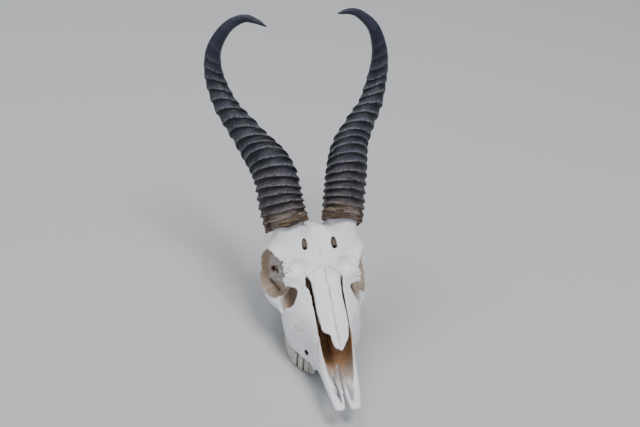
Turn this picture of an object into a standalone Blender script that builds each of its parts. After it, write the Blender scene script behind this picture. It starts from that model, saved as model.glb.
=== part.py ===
"""Springbok skull without its lower jaw: cranium, two horn sheaths and twelve upper cheek teeth.

The skull lies as it would on a table, on its cheek teeth and on the two processes beside the
occiput. X runs to the animal's left, Y from the muzzle to the occiput, Z up. Lengths below are in
millimetres, measured from the table and from the tips of the premaxillae on the middle plane.
"""

import math
from collections import namedtuple

import bmesh
import bpy
from mathutils import Matrix, Vector

MM = 0.001
GAP = 0.35
SIDES = (("right", -1), ("left", 1))

# Cranium, fused from simple forms
BROAD_VOXEL = 1.7
BROAD_SMOOTHING = 14
FINE_VOXEL = 1.23
FINE_SMOOTHING = 3
SKULL_TRIANGLES = 2640
BODY_POINTS = 36
BAR_POINTS = 12
BAR_STEPS = 4
CUT_POINTS = 8
CUT_STEPS = 1

Station = namedtuple("Station", "y width top middle bottom upper_power lower_power")
BODY_STATIONS = (
    Station(20, 12.4, 31.0, 26.0, 21.5, 3.0, 2.4),
    Station(34, 14.0, 37.0, 27.0, 20.5, 3.2, 2.4),
    Station(46, 15.6, 45.5, 28.0, 19.0, 3.0, 2.4),
    Station(58, 17.0, 56.0, 28.0, 17.0, 2.6, 2.4),
    Station(67, 19.4, 60.0, 25.0, 14.5, 3.0, 3.0),
    Station(78, 25.0, 64.8, 24.0, 12.8, 2.6, 3.5),
    Station(92, 31.5, 70.8, 27.0, 12.2, 2.2, 3.5),
    Station(106, 34.2, 77.2, 34.0, 12.6, 2.0, 3.4),
    Station(118, 34.5, 84.0, 42.0, 14.0, 1.9, 3.0),
    Station(130, 33.0, 89.5, 56.0, 20.0, 2.2, 2.2),
    Station(142, 34.0, 95.0, 68.0, 24.0, 2.5, 2.0),
    Station(155, 34.0, 99.5, 70.0, 24.0, 2.4, 2.0),
    Station(166, 33.0, 96.5, 66.0, 22.0, 2.2, 2.0),
    Station(178, 31.0, 90.0, 60.0, 20.0, 2.2, 2.0),
    Station(190, 28.0, 81.0, 54.0, 19.0, 2.1, 2.0),
    Station(200, 22.0, 71.0, 50.0, 20.0, 2.0, 2.0),
    Station(207, 13.0, 60.0, 42.0, 24.0, 2.0, 2.0),
)

# Nasal cavity: open upwards in front of the nasal bones, roofed by them behind
CAVITY_STATIONS = (
    Station(7, 2.5, 60, 31, 25.0, 6, 2.4),
    Station(16, 6.0, 60, 32, 24.0, 6, 2.4),
    Station(28, 9.2, 62, 35, 24.0, 6, 2.4),
    Station(40, 11.0, 66, 38, 24.5, 6, 2.4),
    Station(52, 12.2, 72, 42, 25.0, 6, 2.4),
    Station(62, 12.8, 78, 46, 25.5, 6, 2.4),
    Station(66, 12.8, 80, 48, 26.0, 6, 2.4),
    Station(67.5, 12.6, 61, 46, 26.0, 5, 2.4),
    Station(84, 12.6, 67.8, 48, 30.0, 5, 2.4),
    Station(100, 12.6, 73.6, 54, 36.0, 5, 2.4),
    Station(106, 11.0, 72.6, 56, 40.0, 4, 2.4),
    Station(112, 6.0, 66.0, 57, 46.0, 3, 2.4),
)

# Nasal bones, front to back: how far the pair reaches to the right and left, and its ridge's height.
# The right bone's front edge is chipped back, so the pair ends left of the middle plane.
NASAL_STATIONS = (
    (42.5, -0.3, 2.9, 52.1), (43.8, 2.3, 4.0, 52.9), (46, 3.8, 5.4, 53.9), (50, 5.1, 7.8, 55.7),
    (56, 6.5, 10.2, 58.2), (58.5, 9.5, 11.0, 59.2), (61, 11.5, 11.7, 60.2), (66, 12.3, 12.1, 62.3),
    (72, 12.2, 12.2, 64.8), (84, 12.0, 12.0, 69.7), (96, 12.0, 12.0, 74.6), (104, 10.8, 10.8, 77.9),
    (112, 8.4, 8.4, 81.2), (117, 6.0, 6.0, 83.6),
)
NASAL_THICKNESS = 2.4
NASAL_ARCH = 2.6
NASAL_ARCH_REACH = 12.0
NASAL_POINTS = 9

# Slits through the palate between the inner and the outer bar of each premaxilla
RIGHT_PALATE_SLIT = ((-4.9, 9, 22), (-4.6, 18, 23), (-4.2, 31, 25), (-3.2, 46, 26))
LEFT_PALATE_SLIT = ((5.4, 10, 22), (5.6, 16, 23), (5.3, 22, 24), (4.9, 29, 25))
MIDDLE_SLIT = ((-1.6, -4, 23), (-0.3, 8, 24), (0.7, 18, 24), (1.4, 30, 25), (2.0, 41, 26), (2.0, 51, 27))

# Eye sockets
SOCKET_CENTRE = (39.8, 136.5, 64.5)
SOCKET_RADIUS = 21.2
SOCKET_RIM = 2.0
SOCKET_DEPTH = 21.0
SOCKET_OUTWARD = (0.93, -0.33, 0.16)

# Horn sheaths: centre line, ring spacing and section
RIGHT_HORN_LINE = (
    (-25, 157.5, 99.5), (-29, 169.5, 115.5), (-31.5, 185.5, 133), (-36, 199.5, 142),
    (-42.5, 215.5, 148), (-53.5, 234, 158.5), (-67.5, 252, 174.5), (-76, 264, 193.5),
    (-79, 267.5, 212), (-76.5, 267, 229), (-66.5, 264.5, 246.5), (-53, 261.5, 255),
    (-42, 256.5, 254), (-34, 251.5, 251),
)
LEFT_HORN_LINE = (
    (25, 158, 101), (28, 169, 115), (32.5, 185, 132), (36.5, 199.5, 142),
    (42.5, 216.5, 149.5), (54.5, 234.5, 160), (68, 251, 173.5), (75.5, 262.5, 190),
    (78, 266, 209), (75.5, 265.5, 226), (67.5, 263, 244.5), (55, 262.5, 256.5),
    (44, 259.5, 261.5), (31.5, 255, 261.5),
)
RING_COUNT = 18
TIP_SECTIONS = 8
FIRST_RING = 7.0
RING_SPACING = 6.4
RING_SPACING_GROWTH = 0.25
RING_SPACING_SWELL = 4.0
RING_SWELL_PLACE = 11
RING_SWELL_SPREAD = 2.5
RING_HEIGHT = 2.7
HORN_DIAMETERS = ((0, 37.0), (20, 37.5), (44, 36.5), (68, 33), (100, 26.6), (126, 22.6), (150, 19.3),
                  (172, 16.0), (196, 12.6), (222, 8.8), (236, 6.2), (245, 4.0), (251, 1.6))
OVAL = 0.12
OVAL_END = 140.0
OVAL_TURN = math.radians(42)
RING_SLOPE = ((0, 0.0), (22, 0.05), (60, 0.30), (95, 0.66), (130, 0.62), (165, 0.42), (190, 0.34), (230, 0.0))
SHEATH_WALL = 5.5
SEAT_DEPTH = 8.0
HORN_POINTS = 12

# Upper cheek teeth: middle of the crown, size along and across the row, heights, lobes, turn
Tooth = namedtuple("Tooth", "name x y length width bottom top lobes turn")
TEETH = (
    Tooth("second_premolar", 14.0, 72.0, 4.6, 4.6, 2.4, 13.0, 1, -32),
    Tooth("third_premolar", 16.8, 77.0, 5.4, 6.0, 1.2, 13.0, 1, -32),
    Tooth("fourth_premolar", 20.5, 82.8, 6.6, 7.4, 0.0, 13.0, 1, -26),
    Tooth("first_molar", 24.0, 91.4, 10.2, 8.8, 0.0, 13.0, 2, -14),
    Tooth("second_molar", 25.6, 103.0, 11.8, 9.2, 0.0, 13.0, 2, -4),
    Tooth("third_molar", 25.6, 116.0, 12.8, 8.8, 0.0, 13.4, 2, 3),
)
ROOT_DEPTH = 3.5
TOOTH_POINTS = 12
LOBE_NOTCH = 0.42
LOBE_NOTCH_WIDTH = 0.16
TOOTH_ROUNDNESS = 2.3

PIECES = bpy.data.collections.new("springbok_skull")
CUTTERS = bpy.data.collections.new("cutters")


def clear_scene():
    for obj in list(bpy.data.objects):
        bpy.data.objects.remove(obj)
    for collection in (PIECES, CUTTERS):
        bpy.context.scene.collection.children.link(collection)


def place(obj, collection):
    """Moves an object out of every other collection and into this one."""
    for old in list(obj.users_collection):
        old.objects.unlink(obj)
    collection.objects.link(obj)
    return obj


def mesh_object(name, mesh, collection):
    return place(bpy.data.objects.new(name, mesh), collection)


def loft(name, rings, collection=CUTTERS):
    """A closed skin over rings that have the same number of points, capped at both ends."""
    bm = bmesh.new()
    rows = [[bm.verts.new(Vector(point) * MM) for point in ring] for ring in rings]
    for lower, upper in zip(rows, rows[1:]):
        for i in range(len(lower)):
            j = (i + 1) % len(lower)
            bm.faces.new((lower[i], lower[j], upper[j], upper[i]))
    bm.faces.new(reversed(rows[0]))
    bm.faces.new(rows[-1])
    bmesh.ops.recalc_face_normals(bm, faces=bm.faces)
    mesh = bpy.data.meshes.new(name)
    bm.to_mesh(mesh)
    bm.free()
    return mesh_object(name, mesh, collection)


def ellipsoid(name, centre, radii, outward=(1, 0, 0), fineness=3):
    """A ball stretched to three radii, the first of them along outward."""
    bpy.ops.mesh.primitive_ico_sphere_add(subdivisions=fineness, radius=1.0)
    ball = bpy.context.object
    ball.name = name
    turn = Vector(outward).to_track_quat("X", "Z")
    ball.data.transform(Matrix.LocRotScale(Vector(centre) * MM, turn, Vector(radii) * MM))
    return place(ball, CUTTERS)


def smooth_line(points, steps):
    """Points along a Catmull-Rom curve through the given ones, steps to each stretch."""
    given = [Vector(p) for p in points]
    given = [2 * given[0] - given[1]] + given + [2 * given[-1] - given[-2]]
    line = []
    for a, b, c, d in zip(given, given[1:], given[2:], given[3:]):
        for k in range(steps):
            t = k / steps
            line.append(0.5 * ((2 * b) + (c - a) * t + (2 * a - 5 * b + 4 * c - d) * t * t
                               + (3 * b - a - 3 * c + d) * t ** 3))
    return line + [given[-2]]


def blend_values(pairs, at):
    """The value at a place on a list of (place, value) pairs, eased from one pair to the next."""
    if at <= pairs[0][0]:
        return pairs[0][1]
    for (start, first), (end, last) in zip(pairs, pairs[1:]):
        if at <= end:
            share = (at - start) / (end - start)
            return first + (last - first) * share
    return pairs[-1][1]


def bar(name, points, widths, heights, side_axis=(1, 0, 0), steps=BAR_STEPS, around=BAR_POINTS):
    """A bar of oval section along a smooth line: widths are half sizes across, along side_axis."""
    line = smooth_line(points, steps)
    rings = []
    for i, centre in enumerate(line):
        ahead = line[min(i + 1, len(line) - 1)] - line[max(i - 1, 0)]
        across = Vector(side_axis) - Vector(side_axis).project(ahead)
        across.normalize()
        upward = ahead.normalized().cross(across)
        spot = i / steps
        half_width = blend_values(list(enumerate(widths)), spot)
        half_height = blend_values(list(enumerate(heights)), spot)
        rings.append([
            centre + across * half_width * math.cos(angle) + upward * half_height * math.sin(angle)
            for angle in (math.tau * k / around for k in range(around))
        ])
    return loft(name, rings)


def mirrored(points, side):
    return [(side * x, y, z) for x, y, z in points]


def power_cosine(angle, power):
    return math.copysign(abs(math.cos(angle)) ** (2 / power), math.cos(angle))


def power_sine(angle, power):
    return math.copysign(abs(math.sin(angle)) ** (2 / power), math.sin(angle))


def body_ring(station):
    """Outline of the cranium at one station: an upper and a lower half of different roundness."""
    ring = []
    for k in range(BODY_POINTS):
        angle = math.tau * k / BODY_POINTS
        above = math.sin(angle) >= 0
        power = station.upper_power if above else station.lower_power
        reach = station.top - station.middle if above else station.middle - station.bottom
        ring.append((
            station.width * power_cosine(angle, power),
            station.y,
            station.middle + reach * power_sine(angle, power),
        ))
    return ring


def cranium_body():
    return loft("cranium_body", [body_ring(station) for station in BODY_STATIONS])


def nasal_cavity():
    """The air passage: an open trough in front of the nasal bones, roofed by them behind."""
    return loft("nasal_cavity", [body_ring(station) for station in CAVITY_STATIONS])


def nasal_bones():
    """The pair of nasal bones: one arched plate whose front end overhangs the nasal opening."""
    rings = []
    for y, right, left, ridge in NASAL_STATIONS:
        across = [(left + right) * k / (NASAL_POINTS - 1) - right for k in range(NASAL_POINTS)]
        arch = [NASAL_ARCH * (x / NASAL_ARCH_REACH) ** 2 for x in across]
        upper = [(x, y, ridge - drop) for x, drop in zip(across, arch)]
        lower = [(x, y, ridge - drop - NASAL_THICKNESS) for x, drop in zip(across, arch)]
        rings.append(upper + lower[::-1])
    return loft("nasal_bones", rings)


def premaxilla(side):
    """The forked front bone: a flat tip, a stout outer bar and a thin inner one."""
    outer = ((6.2, 1.5, 22.5), (7.6, 6, 23.4), (10.4, 16, 25.5), (12.4, 30, 28), (14, 46, 31))
    inner = ((3.8, 4, 22.5), (2.7, 12, 23.4), (2.5, 24, 24.2), (2.8, 40, 24.6))
    return [
        bar(f"premaxilla_outer_{side}", mirrored(outer, side), (4.4, 4.2, 2.8, 2.4, 2.4),
            (2.0, 3.0, 3.6, 4.5, 5.0)),
        bar(f"premaxilla_inner_{side}", mirrored(inner, side), (2.0, 1.6, 1.6, 1.8), (1.8, 2.0, 2.2, 2.4)),
    ]


def brow(side):
    """The swelling of the frontal bone over the eye and at the foot of the horn."""
    return [
        ellipsoid(f"brow_{side}", (side * 27.0, 143, 79.0), (19.0, 20.0, 12.5)),
        ellipsoid(f"horn_foot_{side}", (side * 20.5, 151, 87.0), (18.5, 17.0, 13.5)),
        ellipsoid(f"socket_wall_{side}", (side * 29.5, 141, 62.0), (15.0, 22.5, 23.0)),
        ellipsoid(f"cheek_{side}", (side * 29.5, 117, 50.0), (8.5, 12.0, 11.0)),
        ellipsoid(f"tear_bone_{side}", (side * 26.0, 124, 65.0), (10.5, 13.0, 15.0)),
    ]


def socket_facts(side):
    """Centre and outward direction of the eye socket on one side."""
    centre = Vector(SOCKET_CENTRE)
    outward = Vector(SOCKET_OUTWARD)
    centre.x *= side
    outward.x *= side
    return centre, outward


def socket_rim(side):
    centre, outward = socket_facts(side)
    bpy.ops.mesh.primitive_torus_add(major_radius=SOCKET_RADIUS * MM, minor_radius=SOCKET_RIM * MM,
                                     major_segments=36, minor_segments=10)
    ring = bpy.context.object
    ring.name = f"socket_rim_{side}"
    ring.data.transform(Matrix.LocRotScale(centre * MM, outward.to_track_quat("Z", "Y"), None))
    return place(ring, CUTTERS)


def socket_hollow(side):
    centre, outward = socket_facts(side)
    reach = SOCKET_RADIUS - 0.6
    return ellipsoid(f"socket_hollow_{side}", centre + outward * 2.0, (SOCKET_DEPTH, reach, reach), outward)


def cheek_arch(side):
    """The zygomatic arch under the eye, and the broad bar behind the eye that meets it."""
    arch = ((28, 106, 42), (33.5, 114, 43), (39.0, 122, 43), (43.4, 134, 41.5), (44.6, 148, 42.5),
            (43, 163, 45), (38.5, 177, 47), (28, 188, 48))
    post = ((35, 152, 86), (41, 156.5, 79), (44.5, 158.5, 66), (44.5, 154.5, 53), (44, 147, 44))
    return [
        bar(f"cheek_arch_{side}", mirrored(arch, side), (3.2, 3.0, 2.6, 2.4, 2.4, 2.4, 2.6, 3.2),
            (6, 5.5, 5, 4.4, 4, 4, 4, 4.5)),
        bar(f"post_orbital_{side}", mirrored(post, side), (5.0, 4.4, 3.8, 3.6, 3.0), (4, 3.4, 3, 3, 3.5)),
    ]


def pedicle(side):
    """The bony stump that each horn sheath sits on."""
    line = ((20, 146, 80), (22.0, 152, 91), (24.8, 159, 101), (29.5, 171, 117))
    return bar(f"pedicle_{side}", mirrored(line, side), (17, 15.6, 14.6, 14.0), (16, 14.5, 13.6, 13.0))


def skull_base(side):
    """Condyle, ear bulla, the process beside the occiput, the pterygoid plate and the tooth ridge."""
    process = ((20, 193, 44), (21.5, 196.5, 28), (20.5, 196.5, 12), (19.5, 194.5, -2))
    plate = ((9, 124, 24), (9, 140, 20), (9.5, 154, 22))
    ridge = ((12.8, 63, 18), (14.0, 71, 15.2), (17.6, 79, 14.6), (22.0, 87.5, 14.2), (25.0, 99, 14.2),
             (25.6, 112, 14.4), (24.6, 126, 18))
    return [
        ellipsoid(f"condyle_{side}", (side * 10, 204, 27), (7.2, 8.0, 9.5)),
        ellipsoid(f"bulla_{side}", (side * 15.5, 178, 18), (8.0, 12.5, 10.0)),
        bar(f"jugular_process_{side}", mirrored(process, side), (3.6, 3.2, 2.8, 2.6), (6.5, 5.2, 4.4, 3.6)),
        bar(f"pterygoid_{side}", mirrored(plate, side), (1.7, 1.5, 1.4), (7, 8, 5)),
        bar(f"tooth_ridge_{side}", mirrored(ridge, side), (3.6, 4.2, 5.0, 5.8, 6.2, 6.0, 4.2),
            (3.6, 3.6, 3.8, 4, 4, 4, 3.6)),
    ]


def palate_vault():
    line = ((0, 62, 11), (0, 76, 10), (0, 92, 8.5), (0, 112, 9), (0, 134, 11), (0, 148, 13))
    return bar("palate_vault", line, (7.0, 9.5, 14, 15.8, 7.2, 6.5), (7, 8, 9.5, 9.5, 9, 7))


def brain_opening():
    return ellipsoid("foramen_magnum", (0, 206, 38), (9, 17, 8.5))


def temple(side):
    """The hollow behind the bar that closes the eye socket."""
    return ellipsoid(f"temple_{side}", (side * 38.5, 167, 63), (7.5, 8.0, 14.5))


def fine_cuts(side):
    """Openings of the face: the slit beside the nasal bone, and holes for nerves and glands."""
    slit = ((15.2, 110, 74), (14.7, 106, 72.5), (13.6, 99, 70), (13.1, 84, 65), (12.9, 72, 60.5),
            (12.6, 62, 56))
    fork = RIGHT_PALATE_SLIT if side < 0 else LEFT_PALATE_SLIT
    opened = (1.4, 1.9, 1.0, 0.8, 0.8, 1.0) if side < 0 else (0.6, 0.8, 0.8, 0.7, 0.7, 1.0)
    return [
        bar(f"nasal_slit_{side}", mirrored(slit, side), opened, (7, 7, 6, 6, 6, 6),
            steps=CUT_STEPS, around=CUT_POINTS),
        bar(f"palate_slit_{side}", fork, (0.7, 1.3, 1.3, 0.5), (9, 9, 9, 9),
            steps=CUT_STEPS, around=CUT_POINTS),
        ellipsoid(f"gland_pit_{side}", (side * 31.0, 113, 55), (7.0, 6.0, 11.5), (0.85, -0.4, 0.1),
                  fineness=2),
        ellipsoid(f"cheek_hole_{side}", (side * 21.5, 68, 29), (5, 1.8, 1.8), (0.8, -0.6, 0.2), fineness=1),
        ellipsoid(f"brow_hole_{side}", (side * 13.8, 137, 92.5), (2.0, 4.4, 4.5), fineness=2),
    ]


def middle_slit():
    """The gap between the right and left premaxillae."""
    return bar("middle_slit", MIDDLE_SLIT, (1.7, 1.0, 0.6, 0.7, 0.7, 0.4), (9, 9, 9, 9, 9, 9),
               steps=CUT_STEPS, around=CUT_POINTS)


def joined(name, objects):
    """One object that holds the meshes of all the given ones, which are removed."""
    bm = bmesh.new()
    for obj in objects:
        bm.from_mesh(obj.data)
    mesh = bpy.data.meshes.new(name)
    bm.to_mesh(mesh)
    bm.free()
    for obj in objects:
        bpy.data.objects.remove(obj)
    return mesh_object(name, mesh, CUTTERS)


def fused(name, objects, voxel, smoothing):
    """Melts overlapping forms into one skin, then eases the creases between them."""
    whole = joined(name, objects)
    remesh = whole.modifiers.new("fuse", "REMESH")
    remesh.mode = "VOXEL"
    remesh.voxel_size = voxel * MM
    ease = whole.modifiers.new("ease", "SMOOTH")
    ease.factor = 0.5
    ease.iterations = smoothing
    return settled(whole, name, CUTTERS)


def add_boolean(obj, tool, operation):
    tool.hide_render = True
    tool.display_type = "WIRE"
    step = obj.modifiers.new(f"{operation.lower()}_{tool.name}", "BOOLEAN")
    step.operation = operation
    step.solver = "EXACT"
    step.object = tool
    return obj


def settled(obj, name, collection):
    """The object with its modifiers worked out, as a plain mesh under a new name."""
    graph = bpy.context.evaluated_depsgraph_get()
    mesh = bpy.data.meshes.new_from_object(obj.evaluated_get(graph))
    bpy.data.objects.remove(obj)
    return mesh_object(name, mesh, collection)


def horn_stations(line):
    """(place along the line, share of ring height) of every section of a horn, base to tip."""
    stations = [(2.6, 0.7), (4.0, -0.2)]
    crest = FIRST_RING
    for ring in range(RING_COUNT):
        spacing = (RING_SPACING + RING_SPACING_GROWTH * ring
                   + RING_SPACING_SWELL * math.exp(-((ring - RING_SWELL_PLACE) / RING_SWELL_SPREAD) ** 2))
        fade = 1.0 - 0.6 * (ring / RING_COUNT) ** 2
        stations.append((crest - 0.22 * spacing, -0.40 * fade))
        stations.append((crest, fade))
        stations.append((crest + 0.36 * spacing, 0.25 * fade))
        crest += spacing
    tip = line_length(line)
    bare_from = crest - 4
    for k in range(TIP_SECTIONS):
        stations.append((bare_from + (tip - bare_from) * (k + 0.4) / (TIP_SECTIONS - 0.4), 0.0))
    return stations


def line_length(line):
    return sum((b - a).length for a, b in zip(line, line[1:]))


def point_along(line, distance):
    """Point and heading at a distance along a line of many short stretches."""
    walked = 0.0
    for a, b in zip(line, line[1:]):
        step = (b - a).length
        if walked + step >= distance:
            return a + (b - a) * ((distance - walked) / step), (b - a).normalized()
        walked += step
    heading = (line[-1] - line[-2]).normalized()
    return line[-1] + heading * (distance - walked), heading


def horn_ring(line, side, distance, diameter):
    """An oval ring round the horn's centre line that slopes towards the base on its inner side."""
    centre, heading = point_along(line, distance)
    long_axis = Vector((side * math.cos(OVAL_TURN), math.sin(OVAL_TURN), 0))
    long_axis = (long_axis - long_axis.project(heading)).normalized()
    short_axis = heading.cross(long_axis)
    oval = OVAL * max(0.0, 1 - distance / OVAL_END)
    slope = side * blend_values(RING_SLOPE, distance)
    ring = []
    for k in range(HORN_POINTS):
        angle = side * math.tau * k / HORN_POINTS
        arm = (long_axis * diameter / 2 * (1 + oval) * math.cos(angle)
               + short_axis * diameter / 2 * (1 - oval) * math.sin(angle))
        ring.append(centre + arm + heading * arm.x * slope)
    return ring


def seat_rings(line, side, grow):
    """The shallow seat in a sheath's base and the rim around it, from the inside out."""
    base = blend_values(HORN_DIAMETERS, 0) + 2 * grow
    seat = base - 2 * SHEATH_WALL - 4 * grow
    return [
        horn_ring(line, side, SEAT_DEPTH - grow, 0.82 * seat),
        horn_ring(line, side, SEAT_DEPTH - 2.5 - grow, seat),
        horn_ring(line, side, -grow, seat + 1.2),
        horn_ring(line, side, -grow, base - 2.0),
        horn_ring(line, side, 1.2, base),
    ]


def horn(name, side, points):
    """A ringed keratin sheath with a shallow seat in its base."""
    line = smooth_line(points, 8)
    rings = seat_rings(line, side, 0.0)
    for distance, height in horn_stations(line):
        diameter = blend_values(HORN_DIAMETERS, distance) + RING_HEIGHT * height
        rings.append(horn_ring(line, side, distance, diameter))
    rings.append(horn_ring(line, side, line_length(line), 0.8))
    return loft(name, rings, PIECES)


def horn_clearance(name, side, points):
    """A plain sheath base, larger by the gap, that trims the bone under it to fit."""
    line = smooth_line(points, 8)
    outside = blend_values(HORN_DIAMETERS, 0) + RING_HEIGHT + 2 * GAP
    return loft(name, seat_rings(line, side, GAP) + [horn_ring(line, side, 3.0, outside),
                                                     horn_ring(line, side, 30.0, outside)])


def tooth_outline(facts, scale, height, grow):
    """The crown's outline at one height: one lobe, or two with a notch between them."""
    outline = []
    for k in range(TOOTH_POINTS):
        angle = math.tau * k / TOOTH_POINTS
        along = power_cosine(angle, TOOTH_ROUNDNESS) * (facts.length / 2 * scale + grow)
        across = power_sine(angle, TOOTH_ROUNDNESS) * (facts.width / 2 * scale + grow)
        if facts.lobes == 2:
            across *= 1 - LOBE_NOTCH * math.exp(-(along / (LOBE_NOTCH_WIDTH * facts.length)) ** 2)
        outline.append(Vector((across, along, height)))
    return outline


def tooth_loft(name, facts, side, levels, grow, collection):
    turn = Matrix.Rotation(math.radians(facts.turn), 3, "Z")
    rings = []
    for height, scale in levels:
        outline = [turn @ point for point in tooth_outline(facts, scale, height, grow)]
        rings.append([Vector((side * (p.x + facts.x), p.y + facts.y, p.z)) for p in outline])
    return loft(name, rings, collection)


def tooth(name, facts, side):
    """A tall crown, flat where it is worn, on a short root that sits in the jaw."""
    middle = facts.bottom + 0.6 * (facts.top - facts.bottom)
    levels = ((facts.bottom, 0.90), (facts.bottom + 2.0, 1.0), (middle, 0.98), (facts.top, 0.88),
              (facts.top + ROOT_DEPTH, 0.66))
    return tooth_loft(name, facts, side, levels, 0.0, PIECES)


def tooth_clearance(name, facts, side):
    """The socket a tooth sits in, larger by the gap."""
    levels = ((facts.bottom + 6.0, 0.99), (facts.top, 0.88), (facts.top + ROOT_DEPTH + GAP, 0.66))
    return tooth_loft(name, facts, side, levels, GAP, CUTTERS)


def table_top():
    """Everything under the table's surface, which the processes beside the occiput are worn flat to."""
    bpy.ops.mesh.primitive_cube_add(size=1.0)
    slab = bpy.context.object
    slab.name = "table_top"
    slab.data.transform(Matrix.LocRotScale(Vector((0, 150, -15)) * MM, None, Vector((200, 400, 30)) * MM))
    return place(slab, CUTTERS)


def material(name, colour, roughness):
    made = bpy.data.materials.new(name)
    made.use_nodes = True
    shader = made.node_tree.nodes["Principled BSDF"]
    shader.inputs["Base Color"].default_value = (*colour, 1.0)
    shader.inputs["Roughness"].default_value = roughness
    shader.inputs["Metallic"].default_value = 0.0
    return made


def finish_piece(obj, finish):
    obj.data.materials.clear()
    obj.data.materials.append(finish)
    obj.data.shade_smooth()
    obj.data.set_sharp_from_angle(angle=math.radians(40))


def skull():
    """The cranium: forms fused into one bone, opened, thinned out, then trimmed to its neighbours."""
    broad = [cranium_body()]
    fine = []
    for _, side in SIDES:
        broad += brow(side) + [pedicle(side)]
        fine += premaxilla(side) + [socket_rim(side)] + cheek_arch(side) + skull_base(side)
    fine.append(bar("skull_floor", ((0, 120, 30), (0, 150, 27), (0, 178, 22), (0, 198, 24)), (9, 9, 9, 8),
                    (5, 5, 5, 5)))
    crest = ((-22, 192, 52), (-15, 199.5, 64), (0, 203, 69.5), (15, 199.5, 64), (22, 192, 52))
    fine.append(bar("nuchal_crest", crest, (2.6,) * 5, (3.4,) * 5, side_axis=(0, 1, 0)))
    mass = fused("mass", broad, BROAD_VOXEL, BROAD_SMOOTHING)
    bone = fused("bone", [mass] + fine, FINE_VOXEL, FINE_SMOOTHING)
    add_boolean(bone, nasal_cavity(), "DIFFERENCE")
    add_boolean(bone, nasal_bones(), "UNION")
    openings = [palate_vault(), brain_opening()]
    details = [middle_slit()]
    for _, side in SIDES:
        openings += [socket_hollow(side), temple(side)]
        details += fine_cuts(side)
    for opening in openings:
        add_boolean(bone, opening, "DIFFERENCE")
    opened = settled(bone, "opened", CUTTERS)
    triangles = sum(len(face.vertices) - 2 for face in opened.data.polygons)
    thinned = opened.modifiers.new("thin_out", "DECIMATE")
    thinned.ratio = SKULL_TRIANGLES / triangles
    cranium = settled(opened, "skull", PIECES)
    for detail in details:
        add_boolean(cranium, detail, "DIFFERENCE")
    for side_name, side in SIDES:
        line = RIGHT_HORN_LINE if side < 0 else LEFT_HORN_LINE
        add_boolean(cranium, horn_clearance(f"{side_name}_horn_seat", side, line), "DIFFERENCE")
        for facts in TEETH:
            socket = tooth_clearance(f"{side_name}_{facts.name}_socket", facts, side)
            add_boolean(cranium, socket, "DIFFERENCE")
    return add_boolean(cranium, table_top(), "DIFFERENCE")


def centre_on_origin(pieces):
    """Moves all pieces so that the middle of the whole outline stands over the origin."""
    bpy.context.view_layer.update()
    graph = bpy.context.evaluated_depsgraph_get()
    corners = [Vector(c) for piece in pieces for c in piece.evaluated_get(graph).bound_box]
    middle = Vector((
        (min(c.x for c in corners) + max(c.x for c in corners)) / 2,
        (min(c.y for c in corners) + max(c.y for c in corners)) / 2,
        min(c.z for c in corners),
    ))
    for obj in list(PIECES.objects) + list(CUTTERS.objects):
        obj.data.transform(Matrix.Translation(-middle))
    print("middle of the outline, in metres:", tuple(round(v, 6) for v in middle))


def main():
    clear_scene()
    bone = material("bleached_bone", (0.80, 0.79, 0.76), 0.55)
    keratin = material("dark_horn", (0.055, 0.055, 0.062), 0.45)
    enamel = material("tooth_enamel", (0.62, 0.58, 0.50), 0.35)
    cranium = skull()
    finish_piece(cranium, bone)
    pieces = [cranium]
    for side_name, side in SIDES:
        line = RIGHT_HORN_LINE if side < 0 else LEFT_HORN_LINE
        sheath = horn(f"{side_name}_horn", side, line)
        finish_piece(sheath, keratin)
        pieces.append(sheath)
        for facts in TEETH:
            crown = tooth(f"{side_name}_{facts.name}", facts, side)
            finish_piece(crown, enamel)
            pieces.append(crown)
    centre_on_origin(pieces)


main()
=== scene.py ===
import math
from collections import namedtuple

import bpy
import numpy as np
from mathutils import Matrix, Vector


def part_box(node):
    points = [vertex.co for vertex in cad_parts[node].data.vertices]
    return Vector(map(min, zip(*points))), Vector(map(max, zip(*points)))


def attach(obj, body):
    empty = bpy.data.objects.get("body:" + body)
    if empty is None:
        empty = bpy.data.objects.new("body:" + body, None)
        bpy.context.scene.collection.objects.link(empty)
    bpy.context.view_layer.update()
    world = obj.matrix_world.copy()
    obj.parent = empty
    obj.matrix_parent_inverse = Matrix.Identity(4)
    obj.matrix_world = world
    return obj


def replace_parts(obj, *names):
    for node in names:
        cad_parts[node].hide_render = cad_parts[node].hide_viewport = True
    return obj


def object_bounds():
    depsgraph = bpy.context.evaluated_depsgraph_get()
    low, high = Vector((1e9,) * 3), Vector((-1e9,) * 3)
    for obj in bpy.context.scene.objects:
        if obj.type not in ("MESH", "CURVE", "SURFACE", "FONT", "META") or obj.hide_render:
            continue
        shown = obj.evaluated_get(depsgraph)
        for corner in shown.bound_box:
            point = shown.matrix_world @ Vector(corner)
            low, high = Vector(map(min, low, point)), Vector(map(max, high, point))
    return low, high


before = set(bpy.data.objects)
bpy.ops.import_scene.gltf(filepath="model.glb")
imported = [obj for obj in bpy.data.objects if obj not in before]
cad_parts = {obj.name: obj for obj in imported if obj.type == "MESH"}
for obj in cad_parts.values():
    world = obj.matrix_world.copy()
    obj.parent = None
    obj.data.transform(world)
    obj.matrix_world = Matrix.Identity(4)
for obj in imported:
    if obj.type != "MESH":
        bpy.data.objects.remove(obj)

# Springbok skull: bleached bone, twelve ivory cheek teeth and two ringed horn sheaths.
# Lengths are millimetres from the tips of the premaxillae, on the table, on the middle plane.
cad_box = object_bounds()


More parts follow.
